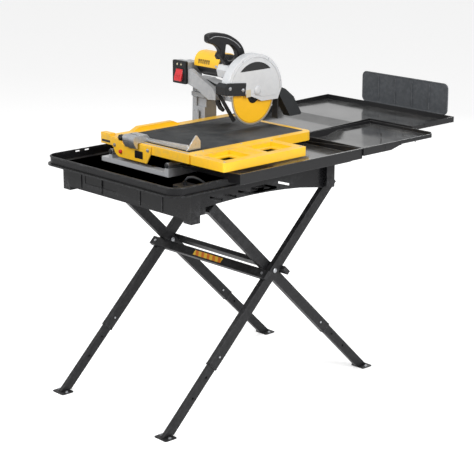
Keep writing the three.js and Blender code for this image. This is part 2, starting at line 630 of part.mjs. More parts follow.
// ---------------------------------------------------------------- cutting table
const cartBottom = CART.top - CART.thick;
const cartX = [CART.left, CART.right];
const matX = [CART.left + CART_BAR.left, CART.right - CART_BAR.side];
const matY = [CART.front + CART_BAR.front, CART.rear - CART_BAR.rear];
const pinZ = RAIL.top + TOUCH + ROLLER.r;
const matTop = CART.top;
const matBottom = matTop - MAT.thick;
const deckBottom = matBottom - TOUCH - CART_BAR.deck;

function tableOutline() {
  const shape = new THREE.Shape();
  shape.moveTo(CART.barEnd, CART.front);
  shape.lineTo(CART.right, CART.front);
  shape.absarc(CART.right - CART_BAR.round, CART.rear - CART_BAR.round, CART_BAR.round, 0, Math.PI / 2);
  shape.absarc(CART.left + 12, CART.rear - 12, 12, Math.PI / 2, Math.PI);
  shape.lineTo(CART.left, matY[0]);
  shape.lineTo(CART.barEnd, matY[0]);
  return shape;
}

// A lug under the deck with a pin that carries one roller.
function rollerLug(x, y) {
  const side = x + (x < 0 ? 1 : -1) * (ROLLER.wide / 2 + 1);
  const lug = [side, side + (x < 0 ? 8 : -8)].sort((a, b) => a - b);
  const tip = x + (x < 0 ? -1 : 1) * (ROLLER.wide / 2 - 1);
  const pin = [tip, middle(lug)].sort((a, b) => a - b);
  return join(block(lug, about(y, 22), [pinZ - 7, deckBottom + 1]), rod("x", ROLLER.pin, pin, [y, pinZ], 16));
}

function cartFrame() {
  const body = prism("z", tableOutline(), [cartBottom, CART.top], 5);
  const pocket = block(matX, matY, [matBottom - TOUCH, CART.top + 1]);
  const inside = prism("z", rounded(grow(cartX, -5), grow([CART.front, CART.rear], -5), CART_BAR.round - 5),
    [cartBottom - 1, deckBottom], 4);
  const lugs = [RAIL.left, RAIL.right].flatMap((x) => ROLLER.at.map((y) => rollerLug(x, y)));
  const rods = EXTENSION.rodsAt.map((y) =>
    rod("x", EXTENSION.rodR + RUN, [matX[1] - 10, CART.right + 5], [y, rodZ], 16));
  const { front, rear, tall, ramp } = HUMP;
  const hump = prism("x", [[front - ramp, CART.top - 1], [rear + ramp, CART.top - 1], [rear, CART.top + tall],
    [front, CART.top + tall]], [CART.left, CART.left + 26]);
  const lip = block([CART.barEnd, CART.left + 30], [CART.front, matY[0] - 3], [CART.top - 1, CART.top + 10]);
  return cut(join(cut(body, pocket, inside), ...lugs, hump, lip), ...rods);
}

const rodZ = deckBottom - 2 - EXTENSION.rodR;
add(object, "cart_frame", cartFrame(), yellow);

function cartMat() {
  const body = block(grow(matX, -TOUCH), grow(matY, -TOUCH), [matBottom, matTop]);
  const long = grow(matY, 5);
  const groove = block(about(BLADE.x, MAT.groove), long, [matTop - MAT.grooveDeep, matTop + 1]);
  const slot = block(about(MAT.slotX, MAT.slotWide), long, [matTop - MAT.slotDeep, matTop + 1]);
  return cut(body, groove, slot);
}

add(object, "cart_mat", cartMat(), rubber);

[["left", RAIL.left], ["right", RAIL.right]].forEach(([side, x]) => {
  [["front", ROLLER.at[0]], ["rear", ROLLER.at[1]]].forEach(([end, y]) => {
    const { r, wide, pin } = ROLLER;
    const bore = pin + RUN;
    const [a, b] = about(x, wide);
    const profile = [[bore, a], [r - 1, a], [r, a + 1], [r, b - 1], [r - 1, b], [bore, b], [bore, a]];
    add(object, `roller_${side}_${end}`, turned("x", profile, [y, pinZ], 24), greyPlastic);
  });
});

function sideExtension() {
  const x = [CART.right + TOUCH, EXTENSION.right];
  const y = [CART.front, EXTENSION.rear];
  const body = prism("z", rounded(x, y, 10), [cartBottom, CART.top], 4);
  const windows = windowsY().map((span) => join(
    block([x[0] + 34, x[1] - 40], span, [CART.top - 16, CART.top + 1]),
    block([x[0] + 62, x[1] - 72], grow(span, -26), [cartBottom - 1, CART.top]),
  ));
  const under = block(grow(x, -8), grow(y, -8), [cartBottom - 1, CART.top - 22]);
  const bars = EXTENSION.rodsAt.map((at) =>
    rod("x", EXTENSION.rodR, [EXTENSION.rodIn, x[0] + 20], [at, rodZ], 16));
  return join(cut(body, under, ...windows), ...bars);
}

function windowsY() {
  const total = EXTENSION.rear - CART.front;
  const rib = 92;
  const wide = (total - rib - 80) / 2;
  const first = CART.front + 40;
  return [[first, first + wide], [first + wide + rib, first + 2 * wide + rib]];
}

add(object, "side_extension", sideExtension(), yellow);

// The plate that hangs from the front bar, hooked round the clamp knob.
function hangingPlate() {
  const { left, right, bottom, thick, hook } = PLATE;
  const shape = new THREE.Shape();
  const knob = [FENCE.left - 24, CART.top + 4];
  shape.moveTo(right, CART.top - 2);
  shape.lineTo(knob[0] + hook, CART.top - 2);
  shape.absarc(...knob, hook - 6, -0.25, 0.2 - Math.PI, true);
  shape.lineTo(left + 16, CART.top - 2);
  shape.lineTo(left, CART.top - 14);
  shape.lineTo(left + 8, bottom + 34);
  shape.absarc(left + 56, bottom + 44, 44, Math.PI, 1.45 * Math.PI, false);
  shape.lineTo(right - 30, bottom);
  shape.lineTo(right - 6, bottom + 40);
  return prism("y", shape, [CART.front - TOUCH - thick, CART.front - TOUCH], 6);
}

add(object, "front_plate", hangingPlate(), yellow);

// The sliding guide: a head over the front bar, a ribbed arm and an upright plate.
function fenceBody() {
  const z0 = CART.top + TOUCH;
  const headX = [FENCE.left, FENCE.right];
  const head = prism("x", [[CART.front - 34, z0 + 4], [CART.front - 34, z0 + FENCE.tall - 6],
    [CART.front - 22, z0 + FENCE.tall], [matY[0] + 10, z0 + FENCE.tall], [matY[0] + 26, z0 + 10],
    [matY[0] + 26, z0], [CART.front - 12, z0], [CART.front - 12, z0 - 22], [CART.front - 20, z0 - 22]], headX);
  const plateY = [matY[0] + 4, matY[0] + 4 + FENCE.plateLong];
  const armOutline = [[FENCE.right - 2, matY[0] + 6], [FENCE.plateX + 1, plateY[0] + 6],
    [FENCE.plateX + 1, plateY[1] - 12], [FENCE.right - 2, matY[0] + 24]];
  const armPlate = prism("z", armOutline, [z0 + 2, z0 + 8]);
  const rib = prism("y", [[FENCE.right - 2, z0 + 6], [FENCE.plateX + 1, z0 + 6], [FENCE.plateX + 1, z0 + 24],
    [FENCE.right - 2, z0 + 14]], about(matY[0] + 16, 5));
  const upright = prism("x", [[plateY[0], z0 + 2], [plateY[1], z0 + 2], [plateY[1], z0 + 34],
    [plateY[1] - 18, z0 + FENCE.plateTall], [plateY[1] - 24, z0 + FENCE.plateTall]], [FENCE.plateX, FENCE.plateX + 6]);
  return join(head, armPlate, rib, upright);
}

const knobAt = { y: CART.front - 24, z: CART.top + 14 };

function fenceKnob() {
  const { r, wide, stem, lobes } = FENCE_KNOB;
  const end = FENCE.left - TOUCH - 4;
  const shape = new THREE.Shape();
  for (let i = 0; i < 2 * lobes; i += 1) {
    const a = (Math.PI * i) / lobes;
    const reach = i % 2 ? r * 0.78 : r;
    const point = [knobAt.y + reach * Math.cos(a), knobAt.z + reach * Math.sin(a)];
    if (i) shape.lineTo(...point);
    else shape.moveTo(...point);
  }
  return join(prism("x", shape, [end - wide, end]), rod("x", stem, [end - 1, FENCE.left - TOUCH], [knobAt.y, knobAt.z], 16));
}

add(object, "fence", fenceBody(), aluminium);
add(object, "fence_knob", fenceKnob(), blackPlastic);

// ---------------------------------------------------------------- cutting head
const ringAt = (y, z, r, from, to, n) => Array.from({ length: n + 1 }, (_, i) => {
  const a = THREE.MathUtils.degToRad(from + ((to - from) * i) / n);
  return [y + r * Math.cos(a), z + r * Math.sin(a)];
});

// The guard seen from the side: a round hood, open below, with a straight tail wall at the rear.
// Grown inwards it runs on below the hood, so that the room it cuts stays open.
function guardOutline(inset) {
  const { y, z, r, tailIn, tailZ } = GUARD;
  const low = inset ? GUARD.openBelow : 0;
  const tailSlope = tailIn / (z - tailZ);
  const nose = [y - r + 4 + inset + low / 3, z - 6 - low];
  const tail = [y + r - tailIn - inset - low * tailSlope, tailZ - low];
  const lower = [nose, [120, z - 8 - low], [176, BLADE.z - 4 - low], [214, tailZ + 2 - low], tail];
  return [...ringAt(y, z, r - inset, 2, 178, 28), ...lower];
}

function bladeGuard() {
  const span = [GUARD.left, GUARD.right];
  const shell = prism("x", guardOutline(0), span);
  const room = prism("x", guardOutline(GUARD.wall), grow(span, -GUARD.wall));
  const hub = turned("x", [[0, GUARD.right - 1], [13, GUARD.right - 1], [13, GUARD.right + 4], [8, GUARD.right + 9],
    [0, GUARD.right + 10]], [188, 1292], 20);
  const hole = rod("x", FLANGE_R + 6, [GUARD.left - 1, GUARD.left + GUARD.wall + 1], [BLADE.y, BLADE.z], 24);
  return cut(join(cut(shell, room), hub), hole);
}

function bladeDisc() {
  const [a, b] = about(BLADE.x, BLADE.thick);
  const bore = ARBOR_R + RUN;
  return turned("x", [[bore, a], [BLADE.r, a], [BLADE.r, b], [bore, b], [bore, a]], [BLADE.y, BLADE.z], 64);
}

function arbor() {
  const back = BLADE.x - BLADE.thick / 2 - TOUCH;
  const front = BLADE.x + BLADE.thick / 2 + TOUCH;
  const profile = [[0, CASE.left + 14], [ARBOR_R, CASE.left + 14], [ARBOR_R, back - 6], [FLANGE_R, back - 4], [FLANGE_R, back],
    [ARBOR_R, back], [ARBOR_R, front + 12], [0, front + 12]];
  return turned("x", profile, [BLADE.y, BLADE.z], 28);
}

function outerFlange() {
  const front = BLADE.x + BLADE.thick / 2 + TOUCH;
  const bore = ARBOR_R + RUN;
  const disc = turned("x", [[bore, front], [FLANGE_R, front], [FLANGE_R, front + 2], [17, front + 5], [bore, front + 5],
    [bore, front]], [BLADE.y, BLADE.z], 28);
  const nut = rod("x", 14, [front + 4, front + 11], [BLADE.y, BLADE.z], 6);
  return cut(join(disc, nut), rod("x", bore, [front - 1, front + 12], [BLADE.y, BLADE.z], 28));
}

function gearCase() {
  const x = [CASE.left, CASE.right];
  const { y, z } = BLADE;
  const outline = [...ringAt(y, z, CASE.r, 200, 360, 12), [y + 34, 1310], [y + 30, CASE.top - 8], [y + 24, CASE.top], [66, CASE.top],
    [52, CASE.top - 20], [60, 1352], [120, 1330], [y - CASE.r, 1290]];
  const lug = prism("x", [[y + 20, PLUNGE.z - 14], [PLUNGE.y, PLUNGE.z - 15], [PLUNGE.y + 15, PLUNGE.z], [PLUNGE.y, PLUNGE.z + 15],
    [y + 20, PLUNGE.z + 15]], [x[0] + 10, x[1] - 12]);
  const spigot = turned("x", [[34, x[1] - 2], [CASE.r, x[1] - 2], [CASE.r, GUARD.left - TOUCH], [34, GUARD.left - TOUCH],
    [34, x[1] - 2]], [y, z], 32);
  const bore = rod("x", ARBOR_R + RUN, [CASE.left + 12, CASE.right + 1], [y, z], 24);
  const pinHole = rod("x", PLUNGE.r + RUN, grow(x, 5), [PLUNGE.y, PLUNGE.z], 20);
  return cut(join(prism("x", outline, x), lug, spigot), bore, pinHole);
}

function tiltBracket() {
  const plate = sector(BRACKET, bracketY);
  const ears = [[CASE.left + 1, CASE.left + 9], [CASE.right - 10, CASE.right - 2]].map((x) =>
    prism("x", [[bracketY, 1296], [bracketY + 12, 1296], [PLUNGE.y + 14, PLUNGE.z - 14], [PLUNGE.y + 16, PLUNGE.z + 8],
      [PLUNGE.y, PLUNGE.z + 16], [PLUNGE.y - 16, PLUNGE.z + 8], [bracketY, 1330]], x));
  const pin = rod("x", PLUNGE.r, [CASE.left - 3, CASE.right + 2], [PLUNGE.y, PLUNGE.z], 20);
  return join(plate, ...ears, pin);
}

function motorBody() {
  const { left, right, r, z } = MOTOR;
  const profile = [[0, left], [r - 14, left], [r - 4, left + 6], [r, left + 18], [r, right - 4], [r - 4, right - TOUCH],
    [0, right - TOUCH]];
  return turned("x", profile, [BLADE.y, z], 32);
}

// A yellow shell over the top of the motor, squared off and open underneath.
function motorCover() {
  const y = BLADE.y;
  const { z, r: mr } = MOTOR;
  const { r } = COVER;
  const outline = (by) => [[y + r - by, z - 6 + (by ? -20 : 0)], [y + r - by, z + 24], [y + r - 26, z + r - by],
    [y - r + 26, z + r - by], [y - r + by, z + 24], [y - r + by, z - 6 + (by ? -20 : 0)]];
  const shell = prism("x", outline(0), [COVER.left, COVER.right]);
  const bore = rod("x", mr + TOUCH, [MOTOR.left - TOUCH, COVER.right + 1], [y, z], 32);
  const keep = block([COVER.left - 1, COVER.right + 1], [y - mr, y + mr], [z - 90, z]);
  return cut(shell, bore, keep);
}

// The D-shaped handle: a hooked top bar with a rear and a front leg.
function handle() {
  const outer = [[-34, 1528], [-28, 1544], [10, 1549], [74, 1538], [124, 1514], [158, 1486], [176, 1456], [178, 1430],
    [172, CASE.top + TOUCH], [74, CASE.top + TOUCH], [40, 1446], [36, 1472], [14, 1494], [-28, 1510]];
  const grip = [[70, 1494], [104, 1486], [128, 1466], [138, 1442], [136, 1420], [84, 1420], [66, 1446]];
  const span = about(HANDLE.x, HANDLE.thick);
  return cut(prism("x", outer, span), prism("x", grip, grow(span, 1)));
}

function plungeKnob() {
  const end = HANDLE.x - HANDLE.thick / 2 - TOUCH;
  const shape = new THREE.Shape();
  for (let i = 0; i < 6; i += 1) {
    const a = (Math.PI * i) / 3;
    const point = [PLUNGE_KNOB.y + 17 * Math.cos(a), PLUNGE_KNOB.z + 17 * Math.sin(a)];
    if (i) shape.lineTo(...point);
    else shape.moveTo(...point);
  }
  return join(prism("x", shape, [end - 22, end - 5]), rod("x", 7, [end - 6, end], [PLUNGE_KNOB.y, PLUNGE_KNOB.z], 16));
}

const PLUNGE_KNOB = { y: 64, z: 1442 };
add(object, "tilt_bracket", tiltBracket(), casting);
add(object, "gear_case", gearCase(), casting);
add(object, "motor_body", motorBody(), blackPlastic);
add(object, "motor_cover", motorCover(), yellow);
add(object, "handle", handle(), blackPlastic);
add(object, "plunge_knob", plungeKnob(), blackPlastic);
add(object, "blade_guard", bladeGuard(), casting);
add(object, "blade", bladeDisc(), bladePaint);
add(object, "arbor", arbor(), zinc);
add(object, "outer_flange", outerFlange(), blackSteel);

// Splash block on the nose of the guard, with a skirt that hangs in front of the blade.
function frontSplash() {
  const x = [GUARD.right + TOUCH, GUARD.right + 8];
  const side = prism("x", [[-6, 1292], [110, 1276], [116, 1332], [14, 1342], [-8, 1326]], x);
  const nose = prism("x", [[-6, 1292], [10, 1288], [12, 1340], [-8, 1326]], [GUARD.left - 8, GUARD.right + 1]);
  const strip = prism("x", [[-6, 1300], [10, 1300], [104, 1166], [88, 1160]], [GUARD.left - 8, GUARD.left - 1]);
  return join(side, nose, strip);
}

// A point beside the tail wall of the guard: a share of the way up it, and a touch outside it.
function besideTail(share) {
  const top = [GUARD.y + GUARD.r, GUARD.z + 6];
  const run = [share * GUARD.tailIn, share * (top[1] - GUARD.tailZ)];
  return [top[0] - GUARD.tailIn + run[0] + 2 * TOUCH, GUARD.tailZ + run[1]];
}

function rearFlap() {
  const outline = [besideTail(0.35), besideTail(0.9), [364, 1277], [414, 1238], [464, 1158],
    [458, 1151], [392, 1151], [346, 1222]];
  return prism("x", outline, FLAP.across);
}

function rearCurtain() {
  const [front, top] = besideTail(0.1);
  return block(CURTAIN.across, [front, front + CURTAIN.thick], [CURTAIN.bottom, top]);
}

add(object, "front_splash", frontSplash(), rubber);
add(object, "rear_flap", rearFlap(), rubber);
add(object, "rear_curtain", rearCurtain(), rubber);

// The origin is the bottom centre of the whole object's box.
const boxX = [-RIM.half - FLANGE.out, SIDE_TRAY.right];
const boxY = [footPoint(0, 1) * Math.cos(slant) - FOOT.shift - FOOT.y / 2,
  REAR_TRAY.rear + BACKSPLASH.thick + 3 + 4];
object.position.set(-middle(boxX), -middle(boxY), 0);
object.name = "tile_cutter";

export default object;
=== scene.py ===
"""Looks of a wet tile saw on its folding stand: finishes, small fittings, floor, lamps and camera."""

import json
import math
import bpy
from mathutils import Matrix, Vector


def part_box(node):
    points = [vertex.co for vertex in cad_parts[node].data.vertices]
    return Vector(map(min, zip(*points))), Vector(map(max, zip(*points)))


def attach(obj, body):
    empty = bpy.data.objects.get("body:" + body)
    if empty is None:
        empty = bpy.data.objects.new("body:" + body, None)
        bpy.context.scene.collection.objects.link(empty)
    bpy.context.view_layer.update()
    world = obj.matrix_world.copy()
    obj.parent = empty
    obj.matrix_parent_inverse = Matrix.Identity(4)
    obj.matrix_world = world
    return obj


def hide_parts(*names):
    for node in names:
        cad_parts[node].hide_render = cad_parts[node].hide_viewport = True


bl_info = {
    "name": "Tile Saw Looks",
    "version": (1, 0, 0),
    "blender": (4, 5, 0),
    "location": "3D View > Sidebar > Tile Saw",
    "description": "Dresses a wet tile saw on a folding stand and sets up its studio",
    "category": "Object",
}

import bmesh
import bpy
from mathutils import Vector

MM = 0.001
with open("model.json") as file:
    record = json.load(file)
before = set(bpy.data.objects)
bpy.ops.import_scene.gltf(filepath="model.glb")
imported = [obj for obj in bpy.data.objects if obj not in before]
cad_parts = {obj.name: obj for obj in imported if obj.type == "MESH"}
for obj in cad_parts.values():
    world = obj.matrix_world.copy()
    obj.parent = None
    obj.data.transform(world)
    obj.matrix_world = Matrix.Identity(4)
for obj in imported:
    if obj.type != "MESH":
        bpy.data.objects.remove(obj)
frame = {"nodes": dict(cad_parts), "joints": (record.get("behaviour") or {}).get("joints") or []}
NODES = frame["nodes"]
JOINTS = {joint["name"]: joint for joint in frame["joints"]}
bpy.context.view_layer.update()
PANEL_GROUP = "Tile Saw"


def paint(red, green, blue):
    """A paint given as it looks on a screen, 0 to 255, as linear light."""
    shares = [value / 255 for value in (red, green, blue)]
    return tuple(s / 12.92 if s <= 0.04045 else ((s + 0.055) / 1.055) ** 2.4 for s in shares) + (1.0,)


# ---------------------------------------------------------------- what a user can change


class SawColours(bpy.types.PropertyGroup):
    """Colours of the saw's finishes."""

    def colour(label, about, *rgb):
        return bpy.props.FloatVectorProperty(
            name=label, description=about, subtype="COLOR", size=4, min=0, max=1, default=paint(*rgb)
        )

    enamel: colour("Enamel", "Yellow enamel of the table, extension and motor cover", 250, 194, 30)
    casting: colour("Casting", "Light grey paint on guard and gear case", 200, 202, 205)
    column: colour("Column paint", "Grey paint on column and arm", 166, 168, 171)
    powder: colour("Powder coat", "Black powder coat on the stand", 21, 21, 23)
    moulding: colour("Moulding", "Black moulded plastic of pan and trays", 20, 20, 22)
    housing: colour("Housing", "Black plastic of handle, motor and switch", 24, 24, 26)
    panel: colour("Splash panel", "Dark grey plastic of the splash panel", 62, 65, 69)
    rubber: colour("Rubber", "Dark rubber of mat, skirts and hose", 44, 46, 48)
    paddle: colour("Paddle", "Red of the switch paddle", 206, 36, 44)
    blade: colour("Blade", "Yellow paint on the blade", 252, 192, 26)
    metal: colour("Aluminium", "Bare aluminium of rails, frame and guide", 196, 198, 201)
    zinc: colour("Zinc", "Zinc plate on bolts and buttons", 178, 180, 184)
    label: colour("Label", "Blank label stock", 196, 186, 160)


class SawDetails(bpy.types.PropertyGroup):
    """Sizes of the small details."""

    def size(label, about, default, low, high):
        return bpy.props.FloatProperty(
            name=label, description=about, default=default, min=low, max=high, subtype="DISTANCE"
        )

    rib_pitch: size("Mat rib pitch", "Distance from one rib of the mat to the next", 0.0052, 0.003, 0.02)
    rib_height: size("Mat rib height", "Height of a rib of the mat", 0.0011, 0.0002, 0.004)
    tick_pitch: size("Scale pitch", "Distance between marks on the front bar's scale", 0.01, 0.005, 0.05)
    rim_bead: size("Rim bead", "Radius of the rolled bead round the pan", 0.0032, 0.001, 0.008)
    tube_edge: size("Tube edge", "Rounding of the stand's tubes", 0.0011, 0.0003, 0.003)


class StudioSettings(bpy.types.PropertyGroup):
    """Floor, lamps and camera."""

    lens: bpy.props.FloatProperty(
        name="Lens",
        description="Focal length of the camera on a 36 mm sensor",
        default=114.08,
        min=20,
        max=400,
    )
    turn: bpy.props.FloatProperty(
        name="Turn", description="How far round to the right the camera stands", subtype="ANGLE",
        default=math.radians(47.18),
    )
    tilt: bpy.props.FloatProperty(
        name="Tilt", description="How far the camera looks down", subtype="ANGLE", default=math.radians(15.6)
    )
    camera_place: bpy.props.FloatVectorProperty(
        name="Camera place", description="Where the camera stands", subtype="TRANSLATION", size=3,
        default=(4.6454, -4.4839, 2.4227),
    )
    sky: bpy.props.FloatProperty(
        name="Sky", description="Strength of the even light from all round", default=0.6, min=0, max=2
    )
    key: bpy.props.FloatProperty(
        name="Key lamp", description="Power of the large lamp over the operator", default=150, min=0, max=2000
    )
    fill: bpy.props.FloatProperty(
        name="Fill lamp",
        description="Power of the lamps on the right and behind",
        default=130,
        min=0,
        max=2000,
    )


# ---------------------------------------------------------------- shader groups


def new_group(name, inputs, outputs):
    """An empty shader node group with named sockets: inputs and outputs are {name: (kind, default)}."""
    group = bpy.data.node_groups.new(name, "ShaderNodeTree")
    for sockets, direction in ((inputs, "INPUT"), (outputs, "OUTPUT")):
        for label, (kind, default) in sockets.items():
            socket = group.interface.new_socket(name=label, in_out=direction, socket_type="NodeSocket" + kind)
            if default is not None:
                socket.default_value = default
    return group, group.nodes.new("NodeGroupInput"), group.nodes.new("NodeGroupOutput")


def feed(tree, node, **values):
    """Sets or links a node's inputs by name, with _ for a space."""
    for label, value in values.items():
        socket = node.inputs[label.replace("_", " ")]
        if isinstance(value, bpy.types.NodeSocket):
            tree.links.new(value, socket)
        else:
            socket.default_value = value
    return node


def place(tree, kind, options=None, **values):
    """A new shader node, with its inputs set or linked by name."""
    node = tree.nodes.new("ShaderNode" + kind)
    for label, value in (options or {}).items():
        setattr(node, label, value)
    return feed(tree, node, **values)


def maths(tree, operation, first, second=0.0, clamp=False):
    """A sum on two numbers or sockets."""
    node = tree.nodes.new("ShaderNodeMath")
    node.operation = operation
    node.use_clamp = clamp
    for socket, value in zip(node.inputs, (first, second)):
        if isinstance(value, bpy.types.NodeSocket):
            tree.links.new(value, socket)
        else:
            socket.default_value = value
    return node.outputs[0]


def blend(tree, share, first, second):
    """Colour mix of two colours or sockets."""
    node = tree.nodes.new("ShaderNodeMix")
    node.data_type = "RGBA"
    for index, value in ((0, share), (6, first), (7, second)):
        if isinstance(value, bpy.types.NodeSocket):
            tree.links.new(value, node.inputs[index])
        else:
            node.inputs[index].default_value = value
    return node.outputs[2]


def spread(tree, value, low, high, new_low=0.0, new_high=1.0):
    """Stretches a value's range from low and high to two new ends."""
    node = place(tree, "MapRange", Value=value, From_Min=low, From_Max=high, To_Min=new_low, To_Max=new_high)
    return node.outputs[0]


def group_edge_wear():
    """Paint rubbed off along outside edges, broken up by noise."""
    group, given, made = new_group(
        "Edge Wear",
        {
            "Colour": ("Color", None),
            "Worn Colour": ("Color", None),
            "Amount": ("Float", 0.5),
            "Scale": ("Float", 60.0),
        },
        {"Colour": ("Color", None), "Mask": ("Float", None)},
    )
    shape = place(group, "NewGeometry")
    where = place(group, "TexCoord")
    noise = place(
        group,
        "TexNoise",
        Vector=where.outputs["Object"],
        Scale=given.outputs["Scale"],
        Detail=5.0,
        Roughness=0.7,
    )
    edge = spread(group, shape.outputs["Pointiness"], 0.515, 0.60)
    broken = maths(group, "MULTIPLY", edge, spread(group, noise.outputs["Fac"], 0.42, 0.62))
    mask = maths(group, "MULTIPLY", broken, given.outputs["Amount"], clamp=True)
    feed(
        group,
        made,
        Colour=blend(group, mask, given.outputs["Colour"], given.outputs["Worn Colour"]),
        Mask=mask,
    )
    return group


def group_fine_grain():
    """Fine moulded or powder-coated grain, with a slow drift of tone."""
    group, given, made = new_group(
        "Fine Grain",
        {
            "Colour": ("Color", None),
            "Scale": ("Float", 900.0),
            "Drift": ("Float", 0.12),
            "Roughness": ("Float", 0.5),
        },
        {"Colour": ("Color", None), "Roughness": ("Float", None), "Height": ("Float", None)},
    )
    where = place(group, "TexCoord")
    fine = place(group, "TexNoise", Vector=where.outputs["Object"], Scale=given.outputs["Scale"], Detail=2.0)
    slow = place(group, "TexNoise", Vector=where.outputs["Object"], Scale=5.0, Detail=4.0, Roughness=0.65)
    drift = maths(
        group, "MULTIPLY", spread(group, slow.outputs["Fac"], 0.3, 0.7, -1.0, 1.0), given.outputs["Drift"]
    )
    tone = maths(group, "ADD", 1.0, drift)
    scaled = place(group, "VectorMath", {"operation": "SCALE"})
    group.links.new(given.outputs["Colour"], scaled.inputs[0])
    group.links.new(tone, scaled.inputs["Scale"])
    rough = maths(group, "ADD", given.outputs["Roughness"], maths(group, "MULTIPLY", drift, 0.5), clamp=True)
    feed(group, made, Colour=scaled.outputs[0], Roughness=rough, Height=fine.outputs["Fac"])
    return group


def group_dust_and_reflection():
    """Pale tile dust that lies on faces that look up, in patches; the wet trays use it for a pale painted
    reflection instead.
    """
    group, given, made = new_group(
        "Settled Dust",
        {
            "Colour": ("Color", None),
            "Dust": ("Color", None),
            "Amount": ("Float", 0.3),
            "Scale": ("Float", 14.0),
        },
        {"Colour": ("Color", None), "Mask": ("Float", None)},
    )
    shape = place(group, "NewGeometry")
    where = place(group, "TexCoord")
    up = place(group, "SeparateXYZ", Vector=shape.outputs["Normal"])
    noise = place(
        group,
        "TexNoise",
        Vector=where.outputs["Object"],
        Scale=given.outputs["Scale"],
        Detail=7.0,
        Roughness=0.7,
    )
    level = spread(group, up.outputs["Z"], 0.3, 1.0)
    patches = spread(group, noise.outputs["Fac"], 0.35, 0.75)
    lying = maths(group, "MULTIPLY", level, patches)
    mask = maths(group, "MULTIPLY", lying, given.outputs["Amount"], clamp=True)
    feed(group, made, Colour=blend(group, mask, given.outputs["Colour"], given.outputs["Dust"]), Mask=mask)
    return group


def group_brushed():
    """Fine drawn streaks along one direction."""
    group, given, made = new_group(
        "Drawn Streaks",
        {"Colour": ("Color", None), "Stretch": ("Vector", (600.0, 12.0, 600.0)), "Depth": ("Float", 0.2)},
        {"Colour": ("Color", None), "Roughness": ("Float", None), "Height": ("Float", None)},
    )
    where = place(group, "TexCoord")
    stretched = place(group, "VectorMath", {"operation": "MULTIPLY"})
    group.links.new(where.outputs["Object"], stretched.inputs[0])
    group.links.new(given.outputs["Stretch"], stretched.inputs[1])
    noise = place(group, "TexNoise", Vector=stretched.outputs[0], Scale=1.0, Detail=3.0)
    streak = spread(group, noise.outputs["Fac"], 0.3, 0.7, -1.0, 1.0)
    depth = maths(group, "MULTIPLY", streak, given.outputs["Depth"])
    scaled = place(group, "VectorMath", {"operation": "SCALE"})
    group.links.new(given.outputs["Colour"], scaled.inputs[0])
    group.links.new(maths(group, "ADD", 1.0, depth), scaled.inputs["Scale"])
    rough = maths(group, "ADD", 0.34, maths(group, "MULTIPLY", depth, 0.5), clamp=True)
    feed(group, made, Colour=scaled.outputs[0], Roughness=rough, Height=noise.outputs["Fac"])
    return group


GROUPS = {}


def shader_group(build):
    if build.__name__ not in GROUPS:
        GROUPS[build.__name__] = build()
    return GROUPS[build.__name__]


def add_group(tree, build, **values):
    node = tree.nodes.new("ShaderNodeGroup")
    node.node_tree = shader_group(build)
    return feed(tree, node, **values)


# ---------------------------------------------------------------- finishes

FINISHES = {}


def new_finish(name):
    material = bpy.data.materials.new(name)
    material.use_nodes = True
    return material, material.node_tree, material.node_tree.nodes["Principled BSDF"]


def add_bump(tree, shader, height, strength, distance=0.0004):
    bump = place(tree, "Bump", Strength=strength, Distance=distance, Height=height)
    tree.links.new(bump.outputs[0], shader.inputs["Normal"])


def grained(
    name,
    colour,
    rough,
    grain=900.0,
    bump=0.25,
    drift=0.12,
    worn=None,
    wear=0.0,
    dust=0.0,
    metal=0.0,
    coat=0.0,
    shine=0.5,
):
    """A painted or moulded finish: grain, tone drift, worn edges and a little dust."""
    material, tree, shader = new_finish(name)
    grain_node = add_group(tree, group_fine_grain, Colour=colour, Scale=grain, Drift=drift, Roughness=rough)
    shade = grain_node.outputs["Colour"]
    if worn:
        wear_node = add_group(tree, group_edge_wear, Colour=shade, Worn_Colour=worn, Amount=wear)
        shade = wear_node.outputs["Colour"]
    if dust:
        dust_and_reflection_node = add_group(tree, group_dust_and_reflection, Colour=shade, Dust=paint(178, 176, 170), Amount=dust)
        shade = dust_and_reflection_node.outputs["Colour"]
    feed(
        tree,
        shader,
        Base_Color=shade,
        Roughness=grain_node.outputs["Roughness"],
        Metallic=metal,
        Coat_Weight=coat,
    )
    shader.inputs["Coat Roughness"].default_value = 0.18
    shader.inputs["Specular IOR Level"].default_value = shine
    add_bump(tree, shader, grain_node.outputs["Height"], bump)
    return material


def drawn(name, colour, along):
    """Bare metal with streaks along one axis."""
    material, tree, shader = new_finish(name)
    stretch = tuple(14.0 if axis == along else 700.0 for axis in "xyz")
    streaks = add_group(tree, group_brushed, Colour=colour, Stretch=stretch, Depth=0.16)
    bright = paint(232, 233, 235)
    wear_node = add_group(
        tree, group_edge_wear, Colour=streaks.outputs["Colour"], Worn_Colour=bright, Amount=0.6
    )
    shade = wear_node.outputs["Colour"]
    feed(tree, shader, Base_Color=shade, Roughness=streaks.outputs["Roughness"], Metallic=0.85)
    add_bump(tree, shader, streaks.outputs["Height"], 0.12, 0.0002)
    return material


